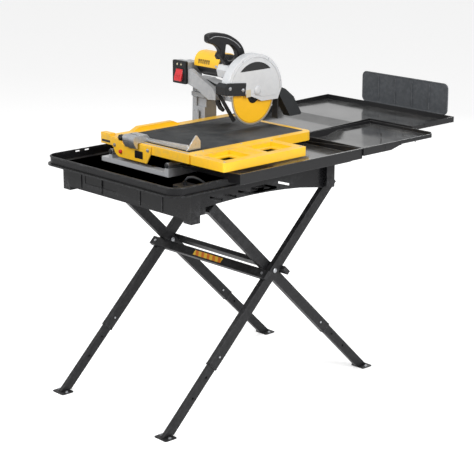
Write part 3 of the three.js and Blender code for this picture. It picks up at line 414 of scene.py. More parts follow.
def wet_moulding(name, colour):
    """Black moulded plastic whose upward faces carry a thin film of water, with a pale painted reflection
    laid on them in patches.
    """
    material, tree, shader = new_finish(name)
    grain_node = add_group(tree, group_fine_grain, Colour=colour, Scale=700.0, Drift=0.1, Roughness=0.36)
    shape = place(tree, "NewGeometry")
    up = place(tree, "SeparateXYZ", Vector=shape.outputs["Normal"])
    film = spread(tree, up.outputs["Z"], 0.9, 1.0)
    rough = maths(
        tree, "SUBTRACT", grain_node.outputs["Roughness"], maths(tree, "MULTIPLY", film, 0.2), clamp=True
    )
    coat = maths(tree, "MULTIPLY", film, 0.9, clamp=True)
    # Pale grey painted onto the upward faces in patches: a painted reflection of the bright surroundings on
    # the wet floors.
    painted_reflection_grey = paint(168, 168, 166)
    dust_and_reflection_node = add_group(
        tree, group_dust_and_reflection, Colour=grain_node.outputs["Colour"], Dust=painted_reflection_grey, Amount=0.42, Scale=5.0
    )
    feed(tree, shader, Base_Color=dust_and_reflection_node.outputs["Colour"], Roughness=rough, Coat_Weight=coat)
    shader.inputs["Coat Roughness"].default_value = 0.12
    add_bump(tree, shader, grain_node.outputs["Height"], 0.08)
    return material


def blade_finish(colours, centre):
    """Painted steel core with a bare grit rim, a dark ring inside it and fine turning marks."""
    material, tree, shader = new_finish("blade_paint_and_rim")
    where = place(tree, "TexCoord")
    away = place(tree, "VectorMath", {"operation": "SUBTRACT"})
    tree.links.new(where.outputs["Object"], away.inputs[0])
    away.inputs[1].default_value = centre
    flat = place(tree, "VectorMath", {"operation": "MULTIPLY"})
    tree.links.new(away.outputs[0], flat.inputs[0])
    flat.inputs[1].default_value = (0, 1, 1)
    reach = place(tree, "VectorMath", {"operation": "LENGTH"})
    tree.links.new(flat.outputs[0], reach.inputs[0])
    radius = reach.outputs["Value"]
    grit = place(tree, "TexNoise", Vector=where.outputs["Object"], Scale=1500.0, Detail=3.0)
    rim = spread(tree, radius, 0.1168, 0.1176)
    ring_start = spread(tree, radius, 0.1128, 0.1132)
    ring_end = spread(tree, radius, 0.1150, 0.1146)
    ring = maths(tree, "MULTIPLY", ring_start, ring_end)
    grain_node = add_group(
        tree, group_fine_grain, Colour=tuple(colours.blade), Scale=500.0, Drift=0.08, Roughness=0.36
    )
    steel = blend(tree, grit.outputs["Fac"], paint(150, 146, 138), paint(214, 210, 200))
    shade = blend(tree, ring, grain_node.outputs["Colour"], paint(120, 84, 22))
    bare = maths(tree, "MULTIPLY", rim, 0.7)
    feed(tree, shader, Base_Color=blend(tree, rim, shade, steel), Roughness=0.38, Metallic=bare)
    turning = place(tree, "TexNoise", {"noise_dimensions": "1D"}, W=radius, Scale=900.0, Detail=2.0)
    add_bump(tree, shader, turning.outputs["Fac"], 0.15, 0.0002)
    return material


def stripe_finish():
    """A generic label: slanted orange and yellow bars."""
    material, tree, shader = new_finish("striped_label")
    where = place(tree, "TexCoord")
    cut = place(tree, "SeparateXYZ", Vector=where.outputs["Object"])
    slanted = maths(tree, "ADD", cut.outputs["X"], maths(tree, "MULTIPLY", cut.outputs["Z"], 0.8))
    phase = maths(tree, "FRACT", maths(tree, "MULTIPLY", slanted, 28.0))
    bar = spread(tree, phase, 0.49, 0.51)
    shade = blend(tree, bar, paint(226, 120, 34), paint(240, 196, 60))
    grain_node = add_group(tree, group_fine_grain, Colour=shade, Scale=300.0, Drift=0.08, Roughness=0.35)
    feed(tree, shader, Base_Color=grain_node.outputs["Colour"], Roughness=grain_node.outputs["Roughness"])
    return material


# Painted, moulded and rubber finishes. A colour is the name of a sidebar colour, or a paint.
GRAINED_FINISHES = {
    "enamel": dict(
        name="yellow_enamel",
        colour="enamel",
        rough=0.36,
        grain=420,
        bump=0.10,
        drift=0.05,
        worn=paint(150, 140, 120),
        wear=0.35,
        dust=0.10,
        coat=0.25,
    ),
    "casting": dict(
        name="grey_casting_paint",
        colour="casting",
        rough=0.40,
        grain=520,
        bump=0.16,
        drift=0.05,
        worn=paint(236, 236, 234),
        wear=0.4,
        dust=0.08,
    ),
    "column": dict(
        name="grey_column_paint",
        colour="column",
        rough=0.46,
        grain=420,
        bump=0.28,
        drift=0.06,
        worn=paint(208, 208, 206),
        wear=0.4,
        dust=0.10,
    ),
    "frame": dict(
        name="cast_frame_metal",
        colour="metal",
        rough=0.42,
        grain=420,
        bump=0.28,
        drift=0.06,
        worn=paint(226, 226, 226),
        wear=0.4,
        dust=0.08,
        metal=0.3,
    ),
    "powder": dict(
        name="black_powder_coat",
        colour="powder",
        rough=0.38,
        grain=1300,
        bump=0.2,
        drift=0.10,
        worn=paint(86, 86, 88),
        wear=0.3,
        dust=0.05,
        shine=0.3,
    ),
    "moulding": dict(
        name="black_pan_moulding",
        colour="moulding",
        rough=0.30,
        grain=800,
        bump=0.14,
        drift=0.12,
        worn=paint(110, 111, 113),
        wear=0.4,
        dust=0.10,
        shine=0.3,
    ),
    "housing": dict(
        name="black_housing",
        colour="housing",
        rough=0.36,
        grain=1100,
        bump=0.2,
        drift=0.10,
        worn=paint(90, 91, 94),
        wear=0.25,
        dust=0.05,
        shine=0.35,
    ),
    "panel": dict(
        name="splash_panel_grey",
        colour="panel",
        rough=0.5,
        grain=700,
        bump=0.25,
        drift=0.10,
        worn=paint(130, 132, 136),
        wear=0.3,
        dust=0.1,
    ),
    "panel_light": dict(
        name="grey_seam", colour=paint(150, 152, 155), rough=0.4, grain=600, bump=0.1, drift=0.05
    ),
    "rubber": dict(
        name="dark_rubber",
        colour="rubber",
        rough=0.62,
        grain=600,
        bump=0.25,
        drift=0.14,
        dust=0.12,
        shine=0.35,
    ),
    "grip": dict(
        name="grip_rubber", colour=paint(34, 35, 37), rough=0.5, grain=1500, bump=0.4, drift=0.08, shine=0.35
    ),
    "paddle": dict(
        name="red_paddle_plastic",
        colour="paddle",
        rough=0.32,
        grain=500,
        bump=0.08,
        drift=0.05,
        worn=paint(236, 110, 110),
        wear=0.3,
        coat=0.3,
    ),
    "label": dict(name="blank_label", colour="label", rough=0.4, grain=300, bump=0.05, drift=0.05),
    # Near-black print for labels and the badge; it also serves as painted shade in the motor's cooling holes
    # and the cover's vent slots.
    "dark_label": dict(
        name="dark_label", colour=paint(20, 20, 22), rough=0.28, grain=300, bump=0.04, drift=0.05, coat=0.4
    ),
    "scale_mark": dict(
        name="scale_marks", colour=paint(28, 28, 30), rough=0.4, grain=300, bump=0.02, drift=0.02
    ),
}

# Bare metal finishes: material, sidebar colour and the axis that the streaks follow.
DRAWN_FINISHES = {
    "zinc": ("zinc_plate", "zinc", "x"),
    "metal_y": ("aluminium_along_y", "metal", "y"),
    "metal_x": ("aluminium_along_x", "metal", "x"),
}


def make_finish(key):
    """Makes the finish called key from the colours in the sidebar."""
    colours = bpy.context.scene.saw_colours
    if key == "stripes":
        return stripe_finish()
    if key == "wet":
        return wet_moulding("wet_tray_moulding", tuple(colours.moulding))
    if key in DRAWN_FINISHES:
        name, colour, along = DRAWN_FINISHES[key]
        return drawn(name, tuple(getattr(colours, colour)), along)
    values = dict(GRAINED_FINISHES[key])
    if isinstance(values["colour"], str):
        values["colour"] = tuple(getattr(colours, values["colour"]))
    return grained(**values)


def finish(key):
    """The finish called key, made the first time that a piece asks for it."""
    if key not in FINISHES:
        FINISHES[key] = make_finish(key)
    return FINISHES[key]


# ---------------------------------------------------------------- shapes

ACROSS = {"x": (1, 2, 0), "y": (0, 2, 1), "z": (0, 1, 2)}


def spot(along, a, b, level):
    """A point at (a, b) in the plane square to an axis, and at level along it."""
    point = [0.0, 0.0, 0.0]
    for axis, value in zip(ACROSS[along], (a, b, level)):
        point[axis] = value
    return point


def add_prism(shape, outline, along, low, high):
    """Pushes a closed outline out along an axis."""
    rings = [[shape.verts.new(spot(along, a, b, level)) for a, b in outline] for level in (low, high)]
    shape.faces.new(rings[0])
    shape.faces.new(rings[1])
    for i in range(len(outline)):
        j = (i + 1) % len(outline)
        shape.faces.new((rings[0][i], rings[0][j], rings[1][j], rings[1][i]))


def add_box(shape, low, high):
    """A box between two opposite corners."""
    outline = [(low[0], low[1]), (high[0], low[1]), (high[0], high[1]), (low[0], high[1])]
    add_prism(shape, outline, "z", low[2], high[2])


def add_turned(shape, profile, along, centre, sides=48):
    """Turns a profile of (radius, level) round an axis; it closes on itself unless it starts on the axis."""
    rings = []
    for radius, level in profile:
        if radius == 0:
            rings.append([shape.verts.new(spot(along, centre[0], centre[1], level))])
            continue
        ring = []
        for i in range(sides):
            turn = 2 * math.pi * i / sides
            a, b = centre[0] + radius * math.cos(turn), centre[1] + radius * math.sin(turn)
            ring.append(shape.verts.new(spot(along, a, b, level)))
        rings.append(ring)
    closed = profile[0][0] != 0
    pairs = list(zip(rings, rings[1:] + rings[:1])) if closed else list(zip(rings, rings[1:]))
    for first, second in pairs:
        for i in range(sides):
            j = (i + 1) % sides
            corners = [
                first[i % len(first)], first[j % len(first)], second[j % len(second)], second[i % len(second)]
            ]
            shape.faces.new(list(dict.fromkeys(corners)))


def add_holed_plate(shape, outline, hole, along, low, high):
    """A plate between two levels along an axis, with one hole through it."""
    for level in (low, high):
        edges = []
        for line in (outline, hole):
            ring = [shape.verts.new(spot(along, a, b, level)) for a, b in line]
            edges += [shape.edges.new((ring[i], ring[(i + 1) % len(ring)])) for i in range(len(ring))]
        bmesh.ops.triangle_fill(shape, use_beauty=True, edges=edges)
    shape.verts.ensure_lookup_table()
    step = len(outline) + len(hole)
    for start, count in ((0, len(outline)), (len(outline), len(hole))):
        for i in range(count):
            a, b = start + i, start + (i + 1) % count
            shape.faces.new([shape.verts[k] for k in (a, b, b + step, a + step)])


def add_hex_head(shape, along, centre, level, out, across=0.010, height=0.0045):
    """A hexagon bolt head on its washer, standing out one way along an axis."""
    washer = across * 0.82
    seat = level + out * 0.0012
    add_turned(shape, [(0, level), (washer, level), (washer, seat), (0, seat)], along, centre, 28)
    radius = across / 2 * 1.155
    shoulder, top = seat + out * height * 0.8, seat + out * height
    profile = [(0, seat), (radius, seat), (radius, shoulder), (radius * 0.86, top), (0, top)]
    add_turned(shape, profile, along, centre, 6)


def add_socket_screw(shape, along, centre, level, out, radius=0.0045, height=0.003):
    """A round socket-head screw with its recess."""
    top, floor = level + out * height, level + out * height * 0.4
    round_edge, socket = 0.0006, radius * 0.5
    profile = [
        (0, level), (radius, level), (radius, top - out * round_edge), (radius - round_edge, top),
        (socket, top), (socket, floor), (0, floor),
    ]
    add_turned(shape, profile, along, centre, 24)


def add_tube(shape, points, radius, sides=12, closed=False):
    """A round tube along points, with flat ends."""
    points = [Vector(p) for p in points]
    count = len(points)
    normal = None
    rings = []
    for i, point in enumerate(points):
        ahead = points[(i + 1) % count] if closed or i + 1 < count else point
        behind = points[i - 1] if closed or i > 0 else point
        forward = (ahead - behind).normalized()
        if normal is None:
            normal = forward.orthogonal().normalized()
        normal = (normal - forward * normal.dot(forward)).normalized()
        side = forward.cross(normal)
        turns = [2 * math.pi * k / sides for k in range(sides)]
        rings.append(
            [shape.verts.new(point + radius * (math.cos(t) * normal + math.sin(t) * side)) for t in turns]
        )
    pairs = list(zip(rings, rings[1:] + (rings[:1] if closed else [])))
    for first, second in pairs:
        for k in range(sides):
            m = (k + 1) % sides
            shape.faces.new((first[k], first[m], second[m], second[k]))
    if not closed:
        shape.faces.new(rings[0])
        shape.faces.new(rings[-1])


def smooth_path(points, steps=8):
    """A Catmull-Rom curve through the points."""
    points = [Vector(p) for p in points]
    full = [points[0] * 2 - points[1]] + points + [points[-1] * 2 - points[-2]]
    path = []
    for before, start, end, after in zip(full, full[1:], full[2:], full[3:]):
        for step in range(steps):
            t = step / steps
            path.append(
                0.5 * (
                    2 * start
                    + (end - before) * t
                    + (2 * before - 5 * start + 4 * end - after) * t * t
                    + (3 * start - before - 3 * end + after) * t ** 3
                )
            )
    return path + [points[-1]]


def arc(centre, radius, start, end, count):
    """Points on an arc, with its angles in degrees."""
    turns = [math.radians(start + (end - start) * i / count) for i in range(count + 1)]
    return [(centre[0] + radius * math.cos(t), centre[1] + radius * math.sin(t)) for t in turns]


def rounded(low, high, radius, count=6):
    """The outline of a rectangle with round corners."""
    (x0, y0), (x1, y1) = low, high
    corners = [((x1 - radius, y0 + radius), -90), ((x1 - radius, y1 - radius), 0),
               ((x0 + radius, y1 - radius), 90), ((x0 + radius, y0 + radius), 180)]
    return [point for centre, start in corners for point in arc(centre, radius, start, start + 90, count)]


def soften(piece, edge, steps=2, sharp=32.0):
    """Joins flat faces, rounds the sharp edges and keeps the flats flat."""
    weld = piece.modifiers.new("Close seams", "WELD")
    weld.merge_threshold = 0.00002
    flats = piece.modifiers.new("Join flat faces", "DECIMATE")
    flats.decimate_type = "DISSOLVE"
    flats.angle_limit = math.radians(0.5)
    if edge:
        bevel = piece.modifiers.new("Round edges", "BEVEL")
        bevel.width = edge
        bevel.segments = steps
        bevel.limit_method = "ANGLE"
        bevel.angle_limit = math.radians(sharp)
        bevel.miter_outer = "MITER_ARC"
    even = piece.modifiers.new("Even shading", "WEIGHTED_NORMAL")
    even.keep_sharp = True
    even.weight = 60


def dress(node, look, edge=1.0, steps=2, sharp=32.0):
    """Gives a CAD node its finish and rounds its edges, with edge in millimetres."""
    piece = NODES[node]
    piece.data.materials.clear()
    piece.data.materials.append(finish(look))
    if "custom_normal" in piece.data.attributes:
        piece.data.attributes.remove(piece.data.attributes["custom_normal"])
    piece.data.polygons.foreach_set("use_smooth", [True] * len(piece.data.polygons))
    soften(piece, edge * MM, steps, sharp)


def dress_all(nodes, look, edge=1.0, steps=2):
    for node in nodes:
        dress(node, look, edge, steps)


def make_piece(name, shape, body, look, edge=0.0, steps=2, stands_for=()):
    """Turns a shape into a piece that rides on a body."""
    bmesh.ops.recalc_face_normals(shape, faces=shape.faces)
    mesh = bpy.data.meshes.new(name)
    shape.to_mesh(mesh)
    shape.free()
    mesh.polygons.foreach_set("use_smooth", [True] * len(mesh.polygons))
    mesh.materials.append(look if isinstance(look, bpy.types.Material) else finish(look))
    piece = bpy.data.objects.new(name, mesh)
    bpy.context.scene.collection.objects.link(piece)
    soften(piece, edge * MM, steps)
    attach(piece, body)
    if stands_for:
        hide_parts(*stands_for)
    return piece


def middle(low, high):
    return (low + high) / 2


# ---------------------------------------------------------------- stand

PIVOT = JOINTS["stand_fold"]["pos_m"]
LEG_RISE = JOINTS["outer_left_height"]["axis"]


def leg_point(lean, x, along, out):
    """A point on a leg frame: along the leg from the pivot, and out square to it. Lean is 1 or -1."""
    y = PIVOT[1] + lean * (along * LEG_RISE[1] - out * LEG_RISE[2])
    return Vector((x, y, PIVOT[2] + along * LEG_RISE[2] + out * LEG_RISE[1]))


def add_leg_box(shape, lean, x, along, out):
    """A box in a leg frame, from its limits in that frame."""
    corners = [[shape.verts.new(leg_point(lean, px, a, o)) for a in along for o in out] for px in x]
    (a, b, c, d), (e, f, g, h) = corners
    for face in ((a, b, d, c), (e, f, h, g), (a, b, f, e), (c, d, h, g), (a, c, g, e), (b, d, h, f)):
        shape.faces.new(face)


def add_leg_bolt(shape, lean, x, along, out, height=0.004, radius=0.0065):
    """A hexagon head on the outer face of a crossbar."""
    base, top = (leg_point(lean, x, along, out + lift) for lift in (0.0, height))
    up = (top - base).normalized()
    right = Vector((1, 0, 0))
    forward = up.cross(right)
    rings = []
    for centre in (base, top):
        turns = [math.pi * k / 3 for k in range(6)]
        rings.append(
            [shape.verts.new(centre + radius * (math.cos(t) * right + math.sin(t) * forward)) for t in turns]
        )
    shape.faces.new(rings[0])
    shape.faces.new(rings[1])
    for k in range(6):
        m = (k + 1) % 6
        shape.faces.new((rings[0][k], rings[0][m], rings[1][m], rings[1][k]))


class DressStand(bpy.types.Operator):
    """Powder coat, end plugs, guide bushes and bolts of the folding stand"""

    bl_idname = "tile_saw.stand"
    bl_label = "Folding stand"

    # Where a crossbar lies on its legs, from the pivot, and how far a plug reaches into a tube.
    CROSSBAR_ALONG = (-0.0655, -0.0265)
    CROSSBAR_OUT = (0.0238, 0.0428)
    CROSSBAR_FACE = 0.0432
    PLUG_DEPTH = 0.004

    def execute(self, context):
        edge = context.scene.saw_details.tube_edge / MM
        for which, lean, body in (("outer", 1, "stand"), ("inner", -1, "inner_frame")):
            dress_all([f"{which}_leg_left", f"{which}_leg_right", f"{which}_crossbar", f"{which}_top_rail",
                       f"{which}_lower_leg_left", f"{which}_lower_leg_right"], "powder", edge)
            dress_all([f"{which}_snap_button_left", f"{which}_snap_button_right"], "zinc", 0.4)
            plugs, bolts, bushes = bmesh.new(), bmesh.new(), bmesh.new()
            bar_low, bar_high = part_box(f"{which}_crossbar")
            for x, out in ((bar_low.x, -1), (bar_high.x, 1)):
                ends = sorted((x - out * self.PLUG_DEPTH, x + out * 0.0025))
                add_leg_box(plugs, lean, ends, self.CROSSBAR_ALONG, self.CROSSBAR_OUT)
            self.plug_top_rail(plugs, which, lean)
            for side in ("left", "right"):
                leg_low, leg_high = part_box(f"{which}_leg_{side}")
                x = middle(leg_low.x, leg_high.x)
                add_leg_bolt(bolts, lean, x, sum(self.CROSSBAR_ALONG) / 2, self.CROSSBAR_FACE)
                self.add_bush(bushes, lean, leg_low.x, leg_high.x)
            make_piece(f"{which}_end_plugs", plugs, body, "housing", 0.9)
            make_piece(f"{which}_crossbar_bolts", bolts, body, "zinc", 0.5)
            make_piece(f"{which}_guide_bushes", bushes, body, "housing", 0.5)
        dress_all(["pivot_bolt_left", "pivot_bolt_right"], "zinc", 0.6)
        self.label_crossbar()
        return {"FINISHED"}

    def add_bush(self, shape, lean, left, right):
        """A plastic collar round the mouth of a leg, where the lower leg slides out."""
        proud, wall, half = 0.0008, 0.0026, 0.0238
        along = (-0.494, -0.4875)
        add_leg_box(shape, lean, (left - proud, left + wall), along, (-half, half))
        add_leg_box(shape, lean, (right - wall, right + proud), along, (-half, half))
        for out in ((-half, -0.0205), (0.0205, half)):
            add_leg_box(shape, lean, (left + wall, right - wall), along, out)

    def plug_top_rail(self, shape, which, lean):
        """End plugs of a top rail, placed from the rail's own height."""
        low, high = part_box(f"{which}_top_rail")
        top = (high.z - PIVOT[2] - 0.023 * LEG_RISE[1]) / LEG_RISE[2]
        for x, out in ((low.x, -1), (high.x, 1)):
            ends = sorted((x - out * self.PLUG_DEPTH, x + out * 0.002))
            add_leg_box(shape, lean, ends, (top - 0.0238, top - 0.0006), (-0.0225, 0.0225))

    def label_crossbar(self):
        shape = bmesh.new()
        across = (-0.125, 0.055)
        along = (-0.058, -0.034)
        add_leg_box(shape, 1, across, along, (self.CROSSBAR_FACE, self.CROSSBAR_FACE + 0.0005))
        make_piece("crossbar_label", shape, "stand", "stripes")


class DressFeet(bpy.types.Operator):
    """Plate feet with their two bolts"""

    bl_idname = "tile_saw.feet"
    bl_label = "Feet"

    def execute(self, context):
        for which in ("outer", "inner"):
            for side in ("left", "right"):
                node = f"{which}_foot_{side}"
                dress(node, "powder", 1.0)
                low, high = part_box(node)
                bolts = bmesh.new()
                for x in (low.x + 0.012, high.x - 0.012):
                    add_hex_head(bolts, "z", (x, middle(low.y, high.y)), high.z, 1, 0.009, 0.004)
                make_piece(f"{node}_bolts", bolts, f"{which}_lower_{side}", "zinc", 0.4)
        return {"FINISHED"}


# ---------------------------------------------------------------- pan, trays and pump


class DressPan(bpy.types.Operator):
    """Water pan with its rolled rim, stiffening ribs and drain plug"""

    bl_idname = "tile_saw.pan"
    bl_label = "Water pan"

    RIB_PLACES = (-0.33, -0.19, 0.06, 0.20)
    RIB_HALF = 0.002

    def execute(self, context):
        dress("water_pan", "moulding", 1.5)
        dress("drain_plug", "rubber", 0.8)
        low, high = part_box("water_pan")
        bead = context.scene.saw_details.rim_bead
        lip = 0.011
        outline = rounded((low.x + lip, low.y + lip), (high.x - lip, high.y - lip), 0.055, 10)
        shape = bmesh.new()
        add_tube(shape, [(x, y, high.z - bead - 0.0006) for x, y in outline], bead, 10, closed=True)
        make_piece("pan_rim_bead", shape, "saw", "moulding")
        ribs = bmesh.new()
        sump_face = low.y + 0.0945
        for x in self.RIB_PLACES:
            start = (x - self.RIB_HALF, sump_face, low.z + 0.022)
            add_box(ribs, start, (x + self.RIB_HALF, sump_face + 0.004, high.z - 0.045))
        make_piece("sump_front_ribs", ribs, "saw", "moulding", 1.0)
        return {"FINISHED"}


class DressTrays(bpy.types.Operator):
    """The three catch trays, wet on their floors, with a painted pale reflection there"""

    bl_idname = "tile_saw.trays"
    bl_label = "Catch trays"

    def execute(self, context):
        dress_all(["side_tray", "corner_tray", "rear_tray"], "wet", 1.6)
        half, proud = 0.002, 0.0016
        for node, body in (("corner_tray", "corner_catch"), ("rear_tray", "rear_catch")):
            low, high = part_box(node)
            ribs = bmesh.new()
            for share in (0.3, 0.5, 0.7):
                y = low.y + (high.y - low.y) * share
                start = (high.x - 0.0002, y - half, high.z - 0.022)
                add_box(ribs, start, (high.x + proud, y + half, high.z - 0.006))
            make_piece(f"{node}_ribs", ribs, body, "moulding", 0.6)
        return {"FINISHED"}


class DressSplashPanel(bpy.types.Operator):
    """Splash panel at the back, with a rolled edge and ribs behind"""

    bl_idname = "tile_saw.splash_panel"
    bl_label = "Splash panel"

    def execute(self, context):
        dress("backsplash", "panel", 1.6)
        low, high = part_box("backsplash")
        base = high.z - 0.140
        ribs = bmesh.new()
        for share in (0.2, 0.4, 0.6, 0.8):
            x = low.x + (high.x - low.x) * share
            add_box(
                ribs, (x - 0.0025, low.y - 0.004, base + 0.012), (x + 0.0025, low.y + 0.0005, high.z - 0.012)
            )
        make_piece("splash_panel_ribs", ribs, "splash_panel", "panel", 1.2)
        rim = [(x, middle(low.y, high.y), z) for x, z in rounded((low.x, base), (high.x, high.z), 0.022, 8)]
        edge = bmesh.new()
        add_tube(edge, rim, 0.0042, 10, closed=True)
        make_piece("splash_panel_edge", edge, "splash_panel", "panel")
        return {"FINISHED"}


class DressPump(bpy.types.Operator):
    """Pump and water hose with its clips"""

    bl_idname = "tile_saw.pump"
    bl_label = "Pump and hose"

    def execute(self, context):
        dress("pump", "housing", 2.0, 3)
        dress("water_hose", "rubber", 0.0)
        low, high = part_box("column")
        clips = bmesh.new()
        hose_y = high.y + 0.011
        hose_x = -0.362
        for z in (low.z + 0.045, low.z + 0.13):
            band = arc((hose_x, hose_y), 0.0072, 0, 180, 8) + arc((hose_x, hose_y), 0.0056, 180, 0, 8)
            add_prism(clips, band, "z", z, z + 0.012)
        make_piece("hose_clips", clips, "saw", "housing", 0.3)
        return {"FINISHED"}


# ---------------------------------------------------------------- frame, column and switch


class DressFrame(bpy.types.Operator):
    """Base frame, rails with end stops, column and arm"""

    bl_idname = "tile_saw.frame"
    bl_label = "Frame and column"

    POST_WIDTH = 0.087
    PLATE_HEIGHTS = (1.090, 1.160)
    PLATE_FACE = -0.0895
    ARM_SCREWS = (-0.255, -0.19, -0.125)
    ARM_SCREW_HEIGHT = 1.254
    ARM_SCREW_FACE = -0.0992
    LEVER_PIVOT = (-0.205, 1.238)
    LEVER_SEAT = 0.0598
    # The lever's arm, across and up from its pivot.
    LEVER_ARM = (
        (-0.009, 0.0), (0.008, 0.0), (0.029, -0.035), (0.047, -0.049), (0.041, -0.060), (0.015, -0.051),
        (-0.003, -0.030),
    )
    # The cable's route along the top of the arm, to its gland.
    CABLE = (
        (-0.31, -0.085, 1.301), (-0.27, -0.092, 1.296), (-0.22, -0.100, 1.289), (-0.16, -0.094, 1.286),
        (-0.115, -0.075, 1.2865),
    )

    def execute(self, context):
        dress("base_frame", "frame", 1.2)
        dress_all(["rail_left", "rail_right"], "metal_y", 1.0)
        stops = bmesh.new()
        outer, tip = 0.0105, 0.008
        for node in ("rail_left", "rail_right"):
            low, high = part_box(node)
            centre = (middle(low.x, high.x), middle(low.z, high.z))
            for end, out in ((low.y, -1), (high.y, 1)):
                back, shoulder, front = end - out * 0.001, end + out * 0.004, end + out * 0.006
                profile = [(0, back), (outer, back), (outer, shoulder), (tip, front), (0, front)]
                add_turned(stops, profile, "y", centre, 32)
        make_piece("rail_end_stops", stops, "saw", "rubber", 0.5)
        dress("column", "column", 5.0, 4)
        dress("arm", "column", 3.0, 3)
        self.fit_column()
        return {"FINISHED"}

    def fit_column(self):
        """Cover plate, screws, clamp lever and cable of the column."""
        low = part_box("column")[0]
        right = low.x + self.POST_WIDTH
        bottom, top = self.PLATE_HEIGHTS
        plate = bmesh.new()
        outline = rounded((low.x + 0.036, bottom), (right - 0.012, top), 0.006)
        add_prism(plate, outline, "y", self.PLATE_FACE, self.PLATE_FACE + 0.003)
        make_piece("column_cover_plate", plate, "saw", "column", 1.0)
        screws = bmesh.new()
        inset = 0.007
        for x in (low.x + 0.036 + inset, right - 0.012 - inset):
            for z in (bottom + inset, top - inset):
                add_socket_screw(screws, "y", (x, z), self.PLATE_FACE, -1, 0.0034, 0.002)
        for x in self.ARM_SCREWS:
            add_socket_screw(screws, "y", (x, self.ARM_SCREW_HEIGHT), self.ARM_SCREW_FACE, -1, 0.006, 0.0045)
        make_piece("column_screws", screws, "saw", "zinc", 0.3)
        self.hang_lever()
        cable = bmesh.new()
        add_tube(cable, smooth_path(self.CABLE), 0.0042, 12)
        make_piece("motor_cable", cable, "saw", "rubber")
        gland = bmesh.new()
        end = self.CABLE[-1]
        foot, shoulder, tip = end[2] - 0.005, end[2] + 0.0035, end[2] + 0.0075
        profile = [(0, foot), (0.009, foot), (0.009, shoulder), (0.006, tip), (0, tip)]
        add_turned(gland, profile, "z", end[:2], 24)
        make_piece("cable_gland", gland, "saw", "housing", 0.5)

    def hang_lever(self):
        """The clamp lever of the bevel: a round boss and a bent arm hanging from it."""
        lever = bmesh.new()
        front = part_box("arm")[0].y + self.LEVER_SEAT
        back, rim, cap = front + 0.001, front - 0.016, front - 0.020
        profile = [(0, back), (0.013, back), (0.013, rim), (0.010, cap), (0, cap)]
        add_turned(lever, profile, "y", self.LEVER_PIVOT, 32)
        outline = [(self.LEVER_PIVOT[0] + x, self.LEVER_PIVOT[1] + z) for x, z in self.LEVER_ARM]
        add_prism(lever, outline, "y", front - 0.018, front - 0.006)
        make_piece("bevel_clamp_lever", lever, "saw", "housing", 2.0, 3)


class DressSwitch(bpy.types.Operator):
    """Switch box with its lamps, frame and red paddle"""

    bl_idname = "tile_saw.switch"
    bl_label = "Switch"

    def execute(self, context):
        dress("switch_box", "column", 2.6, 3)
        dress("switch_paddle", "paddle", 2.4, 3)
        low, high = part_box("switch_box")
        lamps = bmesh.new()
        for shift in (-0.013, 0.013):
            centre = (middle(low.x, high.x) + shift, high.z - 0.016)
            seat, rim = low.y + 0.0029, low.y - 0.0004
            dome = [(0.004, low.y - 0.0018), (0.002, low.y - 0.0024), (0, low.y - 0.0026)]
            add_turned(lamps, [(0, seat), (0.0052, seat), (0.0052, rim)] + dome, "y", centre, 24)
        make_piece("switch_lamps", lamps, "saw", "label")
        face = bmesh.new()
        rim = rounded((low.x - 0.0006, low.z - 0.0006), (high.x + 0.0006, high.z + 0.0006), 0.006)
        hole = rounded((low.x + 0.0185, low.z + 0.0065), (high.x - 0.0185, low.z + 0.0675), 0.004)
        self.add_ring(face, rim, hole, low.y + 0.012, low.y - 0.0008)
        make_piece("switch_face", face, "saw", "housing", 0.8, 3)
        surround = bmesh.new()
        outer = rounded((low.x + 0.0165, low.z + 0.0055), (high.x - 0.0165, low.z + 0.0685), 0.005)
        inner = rounded((low.x + 0.0195, low.z + 0.0075), (high.x - 0.0195, low.z + 0.0665), 0.0035)
        self.add_ring(surround, outer, inner, low.y + 0.0002, low.y - 0.0024)
        make_piece("switch_surround", surround, "saw", "grip", 0.5)
        ribs = bmesh.new()
        paddle_low, paddle_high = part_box("switch_paddle")
        for z in (paddle_low.z + 0.016, paddle_low.z + 0.022, paddle_low.z + 0.028):
            add_box(
                ribs,
                (paddle_low.x + 0.008, paddle_low.y + 0.0004, z),
                (paddle_high.x - 0.008, paddle_low.y + 0.003, z + 0.0022),
            )
        make_piece("paddle_ribs", ribs, "paddle", "paddle", 0.5)
        return {"FINISHED"}

    def add_ring(self, shape, outer, inner, back, front):
        """A flat frame between two outlines with as many points as each other."""
        rings = []
        for line in (outer, inner):
            for level in (back, front):
                rings.append([shape.verts.new(spot("y", a, b, level)) for a, b in line])
        order = [rings[0], rings[1], rings[3], rings[2]]
        for first, second in zip(order, order[1:] + order[:1]):
            for i in range(len(outer)):
                j = (i + 1) % len(outer)
                shape.faces.new((first[i], first[j], second[j], second[i]))


# ---------------------------------------------------------------- table, extension and guide


